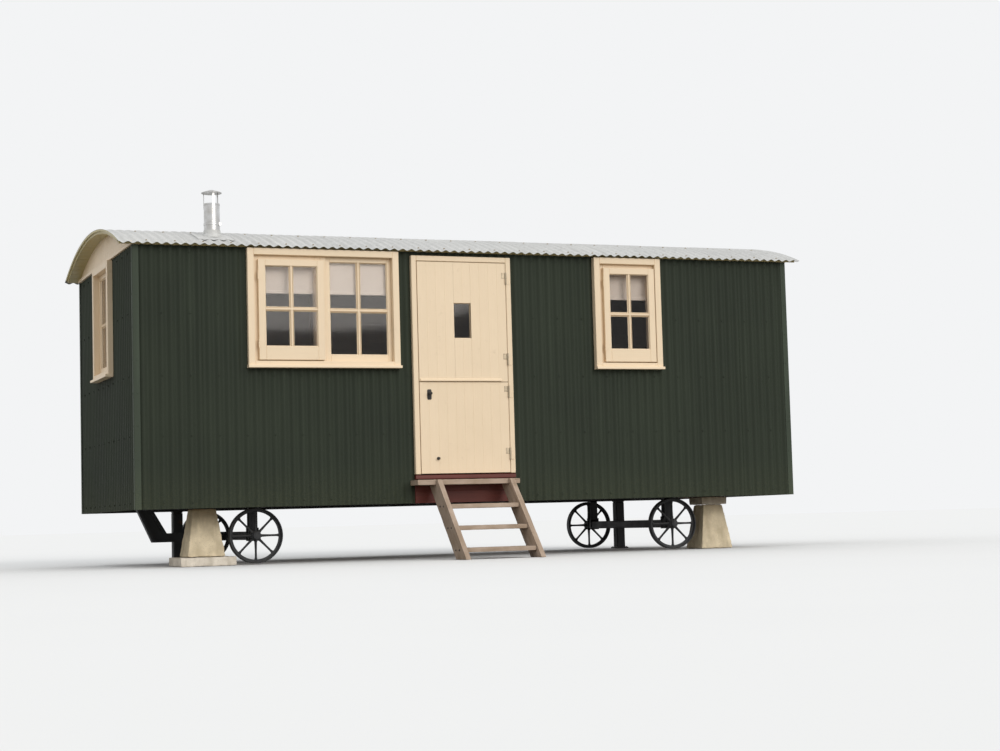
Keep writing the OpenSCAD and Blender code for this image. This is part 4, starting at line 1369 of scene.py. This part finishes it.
def build_hinges():
    """Butt hinges: plates with screws, knuckles and a pin with round ends."""
    steel = bright_steel("hinge_plate", "hinge", 0.8, 0.4)
    for node, body, out in (("frame_hinges", "hut", 1), ("upper_door_hinges", "upper_leaf", -1),
                            ("lower_door_hinges", "lower_leaf", -1)):
        maker = Maker(node + "_steel")
        for low, high in boxes(node):
            radius = (high.y - low.y - 0.001) / 2
            x = low.x + radius if out > 0 else high.x - radius
            place = Matrix.Translation((x, low.y + radius, 0))
            top = high.z
            if out > 0:
                half = top = (low.z + high.z) / 2
                outline = [(0, low.z - 0.002), (radius * 0.55, low.z - 0.002),
                           (radius * 0.6, low.z), (radius, low.z + 0.0005),
                           (radius, half - 0.0005), (0.004, half - 0.0002), (0.004, high.z),
                           (0.0032, high.z + 0.002), (0, high.z + 0.0024)]
                maker.turn(outline, place, 20)
            else:
                outline = [(0.0041, low.z + 0.0003), (radius, low.z + 0.0005),
                           (radius, high.z - 0.0005), (0.0041, high.z)]
                maker.turn(outline, place, 20, ring=True)
            maker.paint = int(out > 0)
            hinge_plate(maker, low, Vector((high.x, high.y, top)), x, out)
            maker.paint = 0
        maker.make([steel, cream_paint()], [node], body, "hinge_steel")


def build_handle():
    """A plate with a knob and a keyhole, and a small stop knob low on the leaf."""
    low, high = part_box("door_handle")
    maker = Maker("handle_iron")
    middle, face = (low + high) / 2, high.y
    half_w, half_h = (high.x - low.x) / 2, (high.z - low.z) / 2
    rings = []
    for y, inset in ((face, 0.0), (face - 0.003, 0.0), (face - 0.004, 0.0015)):
        ring = []
        for k in range(32):
            angle = 2 * math.pi * k / 32
            c, s = math.cos(angle), math.sin(angle)
            u = math.copysign(abs(c) ** 0.35, c) * (half_w - inset)
            v = math.copysign(abs(s) ** 0.35, s) * (half_h - inset)
            ring.append((middle.x + u, y, middle.z + v))
        rings.append(ring)
    maker.loft(rings)
    reach = face - 0.004 - low.y
    knob = half_w * 0.78
    maker.turn([(knob * 0.75, 0), (knob * 0.7, 0.003), (knob * 0.42, 0.006),
                (knob * 0.38, reach * 0.45), (knob * 0.7, reach * 0.55), (knob * 0.97, reach * 0.7),
                (knob, reach * 0.8), (knob * 0.85, reach * 0.93), (knob * 0.4, reach), (0, reach)],
               outward(middle.x, face - 0.004, middle.z + half_h * 0.2), 28)
    maker.turn([(0, 0.0), (0.004, 0.0), (0.004, 0.0012), (0, 0.0012)],
               outward(middle.x, face - 0.0045, middle.z - half_h * 0.55), 12)
    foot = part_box("lower_door")[0]
    maker.turn([(0.013, -0.001), (0.013, 0.003), (0.006, 0.006), (0.006, 0.014), (0.011, 0.018),
                (0.011, 0.022), (0.006, 0.026), (0, 0.026)],
               outward(foot.x + 0.15, foot.y, foot.z + 0.125), 20)
    for share in (0.85, -0.85):
        at = (middle.x, face - 0.004, middle.z + half_h * share)
        maker.stud(at, (0, -1, 0), 0.0035, 0.0015)
    maker.make([black_paint("handle_japan", "handle")], ["door_handle"], "lower_leaf", "dark_iron")


# Steps


# Size of the cells in which the steps' boards and treads are worn
STEP_CELL = 0.02


def side_board(maker, points):
    """A slanted board whose top is notched for the landing board."""
    low, high = extent(points)
    top = [p.y for p in points if p.z > high.z - 0.001]
    foot = [p.y for p in points if p.z < low.z + 0.001]
    notch = levels(points, 2)[1]
    slant = (min(top) - min(foot)) / (high.z - low.z)
    depth = max(foot) - min(foot)
    row = (high.z - low.z) / round((high.z - low.z) / STEP_CELL)
    step = low.z + row * math.floor((notch - low.z) / row)

    def lean(p):
        if p.z < step + row / 2:
            z = low.z + (p.z - low.z) * (notch - low.z) / (step - low.z)
            return Vector((p.x, p.y + (z - low.z) * slant, min(z, notch)))
        z = high.z - (high.z - p.z) * (high.z - notch) / (high.z - step - row)
        front = min(foot) + (z - low.z) * slant
        share = (p.y - min(foot)) / depth
        return Vector((p.x, front + share * (max(top) - front), z))

    maker.rough((low.x, min(foot), low.z), (high.x, max(foot), high.z),
                STEP_CELL, 0.005, 0.0016, lean)


def build_steps():
    """Slanted boards, treads and a landing board of worn bare wood, with bolt heads."""
    wood = bare_wood("weathered_wood", "weathered", 0.6, 0.5)
    maker = Maker("steps_side_boards")
    treads = boxes("step_treads")
    for points in solids("step_stringers"):
        side_board(maker, points)
    maker.paint = 1
    for points in solids("step_stringers"):
        low, high = extent(points)
        out = -1 if low.x < (treads[0][0].x + treads[0][1].x) / 2 else 1
        x = low.x if out < 0 else high.x
        for a, b in treads:
            if b.x - a.x < treads[-1][1].x - treads[-1][0].x + 1 and a.z < high.z - 0.1:
                for share in (0.3, 0.7):
                    at = (x, a.y + (b.y - a.y) * share, (a.z + b.z) / 2)
                    maker.stud(at, (out, 0, 0), 0.009, 0.005)
    maker.make([wood, black_paint()], ["step_stringers"], slot="weathered_wood")
    maker = Maker("steps_treads")
    for low, high in treads:
        maker.rough(low, high, STEP_CELL, 0.006, 0.0016)
    maker.paint = 1
    for low, high in treads:
        wide = high.x - low.x
        for x in (low.x + wide * 0.06, high.x - wide * 0.06):
            for y in (low.y + 0.05, high.y - 0.05):
                maker.stud((x, y, high.z - 0.001), (0, 0, 1), 0.005, 0.0016)
    maker.make([wood, black_paint()], ["step_treads"], slot="weathered_wood")


# Chassis


def build_chassis():
    """Rolled channels, sawn joists, square axle beams on brackets and the front brace."""
    paint = black_paint()
    maker = Maker("bearer_channels")
    web, flange = 0.009, 0.011
    for low, high in boxes("bearers"):
        face = 1 if low.y < MIDDLE_Y else -1
        a, b = (low.y, high.y) if face > 0 else (high.y, low.y)
        outline = [(a, low.z), (b, low.z), (b, low.z + flange * 0.8),
                   (a + face * web, low.z + flange), (a + face * web, high.z - flange),
                   (b, high.z - flange * 0.8), (b, high.z), (a, high.z)]
        maker.prism(outline, 0, low.x, high.x)
        for axle_low, axle_high in boxes("axles"):
            middle = (axle_low.x + axle_high.x) / 2
            for dx in (-0.055, 0.055):
                maker.stud((middle + dx, a, (low.z + high.z) / 2), (0, -face, 0), 0.011, 0.008)
    maker.make([paint], ["bearers"], slot="chassis")

    maker = Maker("cross_joists")
    for low, high in boxes("cross_members"):
        maker.rough(low, high, 0.03, 0.003, 0.0012)
    maker.make([structural()], ["cross_members"], slot="structural_timber")

    maker = Maker("axle_beams")
    for points in solids("axles"):
        axle(maker, points)
    maker.make([paint], ["axles"], slot="chassis")

    maker = Maker("front_brace_iron")
    brace(maker, solids("front_brace")[0])
    maker.make([paint], ["front_brace"], slot="chassis")


def axle(maker, points):
    """A square beam with round ends, washers and nuts, hung in brackets under the bearers."""
    low, high = extent(points)
    x = (low.x + high.x) / 2
    wheel_low, wheel_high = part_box("front_left_wheel")
    z = (wheel_low.z + wheel_high.z) / 2
    half = (high.x - low.x) / 2
    hub_out = wheel_high.y + 0.001
    far = 2 * MIDDLE_Y - hub_out
    maker.bar((x - half, hub_out, z - half), (x + half, far, z + half), 0.008)
    shaft = 0.02
    turned = Matrix.Translation((x, low.y, z)) @ Matrix.Rotation(-math.pi / 2, 4, "X")
    length = high.y - low.y
    maker.turn([(0, -0.006), (shaft * 0.8, -0.006), (shaft, -0.002), (shaft, length + 0.002),
                (shaft * 0.8, length + 0.006), (0, length + 0.006)], turned, 28)
    lip, washer = 0.03, 0.008
    for start in (0.0, length - washer):
        maker.turn([(shaft, start), (lip, start), (lip, start + washer), (shaft, start + washer)],
                   turned, 28, ring=True)
    for start in (-0.004, length - washer - 0.004 + 0.008):
        place = turned @ Matrix.Translation((0, 0, start))
        maker.turn([(0, 0), (0.026, 0), (0.026, 0.004), (0, 0.004)], place, 6)
    cheek, flange, strap, edge, top = 0.01, 0.012, 0.008, 0.001, high.z
    a, b, under, over, hug = x - half, x + half, z - half, z + half, z + half + 0.03
    outline = [(a - strap, under - strap), (b + strap, under - strap), (b + strap, hug), (b, hug),
               (b, under), (a, under), (a, hug), (a - strap, hug)]
    for bearer_low, bearer_high in boxes("bearers"):
        y0, y1 = bearer_low.y + 0.002, bearer_high.y - 0.002
        for y in (y0, y1 - cheek):
            maker.bar((a, y, over - edge), (b, y + cheek, top), edge)
        maker.bar((a, y0, top - flange), (b, y1, top), edge)
        maker.bar((a, y0, over), (b, y1, over + flange), edge)
        for dx in (-half * 0.6, half * 0.6):
            for y, out in ((y0, -1), (y1, 1)):
                maker.stud((x + dx, y, over + 0.045), (0, out, 0), 0.009, 0.007)
        for dy in (-0.006, y1 - y0 - 0.006):
            maker.prism(outline, 1, y0 + dy, y0 + dy + 0.012)


def brace(maker, points):
    """Two flat bars with a web between them, bent up to the first joist, and bolted through."""
    low, high = extent(points)
    outline = [(p.x, p.z) for p in points if p.y < low.y + 0.001]
    bottom = sorted(p for p in outline if p[1] < low.z + 0.001)
    top = sorted(p for p in outline if p[1] > high.z - 0.001)
    middle = sorted(p for p in outline if low.z + 0.001 < p[1] < high.z - 0.001)
    outer = [bottom[-1], bottom[0], top[0]]
    inner = [middle[-1], middle[0], top[1]]

    def blend(a, b, share):
        return (a[0] + (b[0] - a[0]) * share, a[1] + (b[1] - a[1]) * share)

    web = 0.024
    for near, far, inset in ((0.0, 0.2, 0.0), (0.8, 1.0, 0.0), (0.2, 0.8, web)):
        edges = [[blend(a, b, share) for a, b in zip(outer, inner)] for share in (near, far)]
        front, back = ([[(a[0], y, a[1]), (b[0], y, b[1])] for a, b in zip(*edges)]
                       for y in (low.y + inset, high.y - inset))
        maker.slab(front, back)
    for share in (0.15, 0.85):
        at = blend(blend(outer[0], inner[0], 0.5), blend(outer[1], inner[1], 0.5), share)
        for y, out in ((low.y + web, -1), (high.y - web, 1)):
            maker.stud((at[0], y, at[1]), (0, out, 0), 0.012, 0.01)


def wheel(name, node, body):
    """A cast wheel: ribbed rim, tapered spokes that swell at both ends, and a collared hub."""
    low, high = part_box(node)
    radius = (high.z - low.z) / 2
    half = (high.y - low.y) / 2
    rim_half, rim_t, rib, hub, bore, spokes = 0.03, 0.012, 0.03, 0.042, 0.0203, 8
    maker = Maker(name, outward(*((low + high) / 2)))
    side = [(radius - 0.003, rim_half), (radius - rim_t * 0.8, rim_half),
            (radius - rim_t, rim_half - 0.003), (radius - rim_t - 0.002, 0.008),
            (radius - rib, 0.005)]
    rim = [(radius - 0.003, -rim_half), (radius, -rim_half + 0.003), (radius, rim_half - 0.003),
           *side, *[(r, -z) for r, z in reversed(side[1:])]]
    maker.turn(rim, steps=96, ring=True)
    side = [(hub, half - 0.026), (hub * 0.98, half - 0.02), (hub * 0.78, half - 0.014),
            (hub * 0.78, half - 0.003), (hub * 0.74, half), (bore, half)]
    maker.turn([(r, -z) for r, z in reversed(side)] + side, steps=40, ring=True)
    # Distance from the axle, half width and half depth along a spoke
    stations = ((hub * 0.86, 0.017, 0.02), (hub * 1.3, 0.011, 0.014),
                (radius * 0.55, 0.0085, 0.0125), (radius - rib - 0.016, 0.009, 0.012),
                (radius - rib + 0.002, 0.015, 0.014))
    for k in range(spokes):
        turn = Matrix.Rotation(2 * math.pi * k / spokes, 4, "Z")
        rings = []
        for reach, wide, deep in stations:
            rings.append([turn @ Vector((reach, wide * math.cos(a), deep * math.sin(a)))
                          for a in [2 * math.pi * i / 14 for i in range(14)]])
        maker.loft(rings)
        cap = turn @ Matrix.Translation((hub * 0.5 + 0.012, 0, half - 0.001))
        if k % 2 == 0:
            maker.turn([(0.0, -0.004), (0.004, -0.004), (0.004, 0.002), (0, 0.003)], cap, 6)
    maker.make([black_paint("cast_iron_paint")], [node], body, "cast_wheel")


def build_wheels():
    """Four like wheels, each on its own body."""
    for side in ("front_left", "front_right", "back_left", "back_right"):
        wheel(f"{side}_cast_wheel", f"{side}_wheel", side)


def build_piers():
    """Tapered cast piers with worn arrises, and their slabs."""
    maker = Maker("cast_piers")
    for points in solids("piers"):
        low, high = extent(points)
        middle = (low + high) / 2
        top = [p.x for p in points if p.z > high.z - 0.0005]
        share = (max(top) - min(top)) / (high.x - low.x)

        def taper(p, low=low, high=high, middle=middle, share=share):
            size = 1 + (share - 1) * (p.z - low.z) / (high.z - low.z)
            return Vector((middle.x + (p.x - middle.x) * size,
                           middle.y + (p.y - middle.y) * size, p.z))

        maker.rough(low, high, 0.012, 0.012, 0.005, taper)
    maker.make([concrete("pier_concrete", "pier", 0.7)], ["piers"], slot="pier_concrete")
    maker = Maker("paving_slabs")
    for low, high in boxes("pier_slabs"):
        maker.rough(low, high, 0.012, 0.008, 0.004)
    maker.make([concrete("slab_concrete", "slab", 0.35)], ["pier_slabs"], slot="slab_concrete")


def build_posts():
    """Square steel posts with rounded corners, welded to plates that are bolted down."""
    weld, corner, bolt_in = 0.007, 0.008, 0.014
    maker = Maker("post_steel")
    for points in solids("back_posts"):
        xs, ys, zs = (levels(points, k) for k in range(3))
        plate, head = zs[1], zs[-1] - (zs[1] - zs[0])
        maker.bar((xs[0], ys[0], zs[0]), (xs[-1], ys[-1], plate), 0.002)
        maker.bar((xs[1], ys[1], plate), (xs[2], ys[2], head), corner)
        maker.bar((xs[1], ys[1], head), (xs[2], ys[2], zs[-1]), 0.002)
        for x, out in ((xs[1] + corner / 2, -1), (xs[2] - corner / 2, 1)):
            fillet(maker, (x, ys[1], plate), (x, ys[2], plate), (out, 0, 0), (0, 0, 1), weld)
        for y, out in ((ys[1] + corner / 2, -1), (ys[2] - corner / 2, 1)):
            fillet(maker, (xs[1], y, plate), (xs[2], y, plate), (0, out, 0), (0, 0, 1), weld)
        for x in (xs[0] + bolt_in, xs[-1] - bolt_in):
            for y in (ys[0] + bolt_in, ys[-1] - bolt_in):
                maker.stud((x, y, plate), (0, 0, 1), 0.009, 0.008)
    maker.make([black_paint()], ["back_posts"], slot="chassis")


def build_floor():
    """Floor boards along the hut."""
    low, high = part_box("floor")
    maker, board_w = Maker("floor_boards"), 0.12
    boards = round((high.y - low.y) / board_w)
    step = (high.y - low.y) / boards
    for i in range(boards):
        y0, y1 = low.y + i * step, low.y + (i + 1) * step
        maker.bar((low.x, y0, low.z), (high.x, y1, high.z), 0.002)
    maker.make([structural()], ["floor"], slot="structural_timber")


# Flue


# Half the flashing's width, and cells across it
FLASHING_W = 0.15
FLASHING_CELLS = 20


def flue_place():
    """The foot of the flue's axis."""
    low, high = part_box("flue_pipe")
    return Vector(((low.x + high.x) / 2, (low.y + high.y) / 2, low.z))


def flue_radius():
    """The flue pipe's outer radius."""
    low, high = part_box("flue_pipe")
    return (high.x - low.x) / 2


def build_flue():
    """A lapped pipe with a band, a flashing dressed over the roof and a cowl on three straps."""
    iron = sizes("iron")
    low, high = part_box("flue_pipe")
    at, radius = flue_place(), flue_radius()
    steel = bright_steel()
    maker = Maker("flue_pipe_steel", Matrix.Translation((at.x, at.y, 0)))
    roof = arc_height(roof_arc()[0], at.y)
    band = roof + (high.z - roof) * 0.36
    inner = radius - 0.0015
    outline = [(inner, low.z), (radius, low.z), (radius, band - 0.012),
               (radius + 0.003, band - 0.01), (radius + 0.003, band + 0.01), (radius, band + 0.012),
               (radius, high.z - 0.016), (radius + 0.002, high.z - 0.013),
               (radius + 0.002, high.z - 0.007), (radius, high.z - 0.004), (radius, high.z),
               (inner, high.z)]
    maker.turn(outline, steps=64, ring=True)
    clip_x, clip_y = radius * 0.7, -radius * 0.78
    maker.bar((clip_x, clip_y, band - 0.014), (clip_x + 0.022, clip_y + 0.014, band + 0.014), 0.001)
    maker.paint = 1
    collar = [(radius + 0.0005, roof - 0.02), (radius + 0.014, roof - 0.018),
              (radius + 0.012, roof + 0.004), (radius + 0.0045, roof + 0.014),
              (radius + 0.004, roof + 0.045), (radius + 0.0005, roof + 0.045)]
    maker.turn(collar, steps=48, ring=True)
    cells = FLASHING_CELLS
    grids = []
    for lift in (0.0026, 0.0008):
        grid = []
        for i in range(cells + 1):
            u = FLASHING_W * (2 * i / cells - 1)
            line = []
            for j in range(cells + 1):
                v = FLASHING_W * (2 * j / cells - 1)
                sag = 0.5 * wave(u + at.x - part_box("roof_sheet")[0].x, iron.roof_depth) * min(
                    1, max(0, (math.hypot(u, v) - radius - 0.04) / 0.05))
                line.append((u, v, arc_height(roof_arc()[0] + lift, at.y + v) - sag))
            grid.append(line)
        grids.append(grid)

    def clear(i, j):
        u, v = (FLASHING_W * (2 * (k + 0.5) / cells - 1) for k in (i, j))
        return math.hypot(u, v) > radius

    maker.slab(*grids, keep=clear)
    maker.make([steel, galvanised()], ["flue_pipe"], slot="stainless")

    low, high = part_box("flue_cowl")
    maker = Maker("flue_cowl_steel", Matrix.Translation((at.x, at.y, 0)))
    wide = (high.y - low.y) / 2
    cap_low = high.z - 0.026
    cone = [(0, cap_low + 0.006), (wide * 0.9, cap_low + 0.002), (wide * 0.985, cap_low - 0.002),
            (wide, cap_low), (wide, cap_low + 0.003), (wide * 0.96, cap_low + 0.005),
            (wide * 0.5, high.z - 0.008), (wide * 0.22, high.z - 0.001), (0, high.z)]
    maker.turn(cone, steps=56)
    centre, strap = maker.place, radius + 0.0024
    for turn in (30, 150, 270):
        maker.place = centre @ Matrix.Rotation(math.radians(turn), 4, "Z")
        maker.bar((radius + 0.0004, -0.008, low.z), (strap, 0.008, cap_low + 0.003), 0.0005)
        maker.stud((strap, 0, low.z + 0.02), (1, 0, 0), 0.005, 0.004)
    maker.make([steel], ["flue_cowl"], slot="stainless")


# Studio


def seen(n):
    """1 where a ray comes straight from the camera, a mirror or a pane, and 0 where it lights."""
    path = n.put("LightPath").outputs
    through = n.maths("MAXIMUM", path["Is Glossy Ray"], path["Is Transmission Ray"])
    return n.maths("MAXIMUM", path["Is Camera Ray"], through)


def studio_floor():
    """A pale floor to the camera that lights the hut as darker ground."""
    n, colours = Nodes("studio_floor"), sizes("colours")
    soft = n.noise(n.place(), 0.4, 2)
    pale = n.mix(n.spread(soft, 0.3, 0.7), shade(colours.floor, 0.99), shade(colours.floor, 1.0))
    shown = n.mix(seen(n), shade(colours.floor_bounce, 1.0), pale)
    return n.surface(shown, 0.95, Specular_IOR_Level=0.0)


def build_stage():
    scene, studio = bpy.context.scene, sizes("studio")
    scene.view_settings.view_transform = "Standard"
    reach = studio.reach
    mesh = bpy.data.meshes.new("studio_floor")
    corners = [(-reach, -reach, 0), (reach, -reach, 0), (reach, reach, 0), (-reach, reach, 0)]
    mesh.from_pydata(corners, [], [(0, 1, 2, 3)])
    mesh.materials.append(studio_floor())
    floor = bpy.data.objects.new("studio_floor", mesh)
    scene.collection.objects.link(floor)

    scene.world = bpy.data.worlds.new("studio")
    n = Nodes("studio", scene.world)
    lit = n.put("Background", {"Color": (0.97, 0.985, 1.0, 1), "Strength": studio.sky})
    plain = n.put("Background", {"Color": shade(sizes("colours").backdrop, 1.0), "Strength": 1.0})
    both = n.put("MixShader", {0: seen(n), 1: lit.outputs[0], 2: plain.outputs[0]})
    n.put("OutputWorld", {"Surface": both.outputs[0]})

    sun = bpy.data.lights.new("soft_sun", "SUN")
    sun.energy, sun.angle = studio.sun, studio.sun_spread
    sun.color = (1.0, 0.97, 0.93)
    lamp = bpy.data.objects.new("soft_sun", sun)
    lamp.rotation_euler = Vector(studio.sun_from).to_track_quat("Z", "Y").to_euler()
    scene.collection.objects.link(lamp)

    lens = bpy.data.cameras.new("photo_camera")
    lens.lens, lens.sensor_width = studio.lens, 36.0
    lens.clip_end = studio.reach
    camera = bpy.data.objects.new("photo_camera", lens)
    turned = (Matrix.Rotation(-studio.yaw, 4, "Z")
              @ Matrix.Rotation(math.pi / 2 + studio.pitch, 4, "X")
              @ Matrix.Rotation(-studio.roll, 4, "Z"))
    camera.matrix_world = Matrix.Translation(studio.place) @ turned
    scene.collection.objects.link(camera)
    scene.camera = camera


# Operators and panel


class HUT_OT_walls(Operator):
    """Corrugated skins, timber cores and inside boards of the walls"""

    bl_idname = "hut.walls"
    bl_label = "Clad the walls"

    def execute(self, context):
        build_walls()
        return {"FINISHED"}


class HUT_OT_corner_trims(Operator):
    """Metal angles on the four corners"""

    bl_idname = "hut.corner_trims"
    bl_label = "Fold the corner trims"

    def execute(self, context):
        build_corner_trims()
        return {"FINISHED"}


class HUT_OT_gables(Operator):
    """Cream boards under the roof's ends"""

    bl_idname = "hut.gables"
    bl_label = "Board the gables"

    def execute(self, context):
        build_gables()
        return {"FINISHED"}


class HUT_OT_roof_boards(Operator):
    """Grooved boards under the roof sheet"""

    bl_idname = "hut.roof_boards"
    bl_label = "Lay the roof boards"

    def execute(self, context):
        build_roof_boards()
        return {"FINISHED"}


class HUT_OT_roof_sheet(Operator):
    """Curved corrugated sheets with screws"""

    bl_idname = "hut.roof_sheet"
    bl_label = "Lay the roof sheet"

    def execute(self, context):
        build_roof_sheet()
        return {"FINISHED"}


class HUT_OT_window_frames(Operator):
    """Frames, middle posts and sills"""

    bl_idname = "hut.window_frames"
    bl_label = "Set the window frames"

    def execute(self, context):
        build_window_frames()
        return {"FINISHED"}


class HUT_OT_sashes(Operator):
    """Casements and fixed sashes with glazing bars"""

    bl_idname = "hut.sashes"
    bl_label = "Fit the sashes"

    def execute(self, context):
        build_sashes()
        return {"FINISHED"}


class HUT_OT_panes(Operator):
    """Glass for the windows and the door"""

    bl_idname = "hut.panes"
    bl_label = "Glaze"

    def execute(self, context):
        build_panes()
        return {"FINISHED"}


class HUT_OT_blinds(Operator):
    """Roller blinds of plain cloth"""

    bl_idname = "hut.blinds"
    bl_label = "Hang the blinds"

    def execute(self, context):
        build_blinds()
        return {"FINISHED"}


class HUT_OT_door_frame(Operator):
    """Jambs, head, stops and threshold"""

    bl_idname = "hut.door_frame"
    bl_label = "Set the door frame"

    def execute(self, context):
        build_door_frame()
        return {"FINISHED"}


class HUT_OT_leaves(Operator):
    """Boarded upper and lower leaf"""

    bl_idname = "hut.leaves"
    bl_label = "Make the door leaves"

    def execute(self, context):
        build_leaves()
        return {"FINISHED"}


class HUT_OT_hinges(Operator):
    """Butt hinges of the two leaves"""

    bl_idname = "hut.hinges"
    bl_label = "Fit the hinges"

    def execute(self, context):
        build_hinges()
        return {"FINISHED"}


class HUT_OT_handle(Operator):
    """Plate and knob on the lower leaf"""

    bl_idname = "hut.handle"
    bl_label = "Fit the handle"

    def execute(self, context):
        build_handle()
        return {"FINISHED"}


class HUT_OT_steps(Operator):
    """Side boards, treads and landing board"""

    bl_idname = "hut.steps"
    bl_label = "Build the steps"

    def execute(self, context):
        build_steps()
        return {"FINISHED"}


class HUT_OT_chassis(Operator):
    """Bearers, joists, axles and brace"""

    bl_idname = "hut.chassis"
    bl_label = "Build the chassis"

    def execute(self, context):
        build_chassis()
        return {"FINISHED"}


class HUT_OT_wheels(Operator):
    """Four spoked wheels on their axles"""

    bl_idname = "hut.wheels"
    bl_label = "Cast the wheels"

    def execute(self, context):
        build_wheels()
        return {"FINISHED"}


class HUT_OT_piers(Operator):
    """Cast piers and their slabs"""

    bl_idname = "hut.piers"
    bl_label = "Set the piers"

    def execute(self, context):
        build_piers()
        return {"FINISHED"}


class HUT_OT_posts(Operator):
    """Square steel posts on foot plates"""

    bl_idname = "hut.posts"
    bl_label = "Set the back posts"

    def execute(self, context):
        build_posts()
        return {"FINISHED"}


class HUT_OT_floor(Operator):
    """Floor boards between the walls"""

    bl_idname = "hut.floor"
    bl_label = "Lay the floor"

    def execute(self, context):
        build_floor()
        return {"FINISHED"}


class HUT_OT_flue(Operator):
    """Pipe, flashing and cowl"""

    bl_idname = "hut.flue"
    bl_label = "Fit the flue"

    def execute(self, context):
        build_flue()
        return {"FINISHED"}


class HUT_OT_stage(Operator):
    """Studio floor, light and camera"""

    bl_idname = "hut.stage"
    bl_label = "Set the stage"

    def execute(self, context):
        build_stage()
        return {"FINISHED"}


OPERATORS = [
    HUT_OT_walls,
    HUT_OT_corner_trims,
    HUT_OT_gables,
    HUT_OT_roof_boards,
    HUT_OT_roof_sheet,
    HUT_OT_window_frames,
    HUT_OT_sashes,
    HUT_OT_panes,
    HUT_OT_blinds,
    HUT_OT_door_frame,
    HUT_OT_leaves,
    HUT_OT_hinges,
    HUT_OT_handle,
    HUT_OT_steps,
    HUT_OT_chassis,
    HUT_OT_wheels,
    HUT_OT_piers,
    HUT_OT_posts,
    HUT_OT_floor,
    HUT_OT_flue,
    HUT_OT_stage,
]


class HUT_PT_pieces(Panel):
    """Lists the hut's pieces in the order in which they are built"""

    bl_label = "Shepherds hut"
    bl_idname = "HUT_PT_pieces"
    bl_space_type = "VIEW_3D"
    bl_region_type = "UI"
    bl_category = "Hut"

    def draw(self, context):
        for one in OPERATORS:
            self.layout.operator(one.bl_idname, text=one.bl_label)
        for name in GROUPS:
            group = getattr(context.scene, name)
            box = self.layout.box()
            for key in group.__annotations__:
                box.prop(group, key)


CLASSES = [*GROUPS.values(), *OPERATORS, HUT_PT_pieces]


def register():
    for one in CLASSES:
        bpy.utils.register_class(one)
    for name, group in GROUPS.items():
        setattr(bpy.types.Scene, name, PointerProperty(type=group))


def unregister():
    for name in GROUPS:
        delattr(bpy.types.Scene, name)
    for one in reversed(CLASSES):
        bpy.utils.unregister_class(one)


def main():
    register()
    for one in OPERATORS:
        getattr(bpy.ops.hut, one.bl_idname.split(".")[1])()


if __name__ == "__main__":
    main()
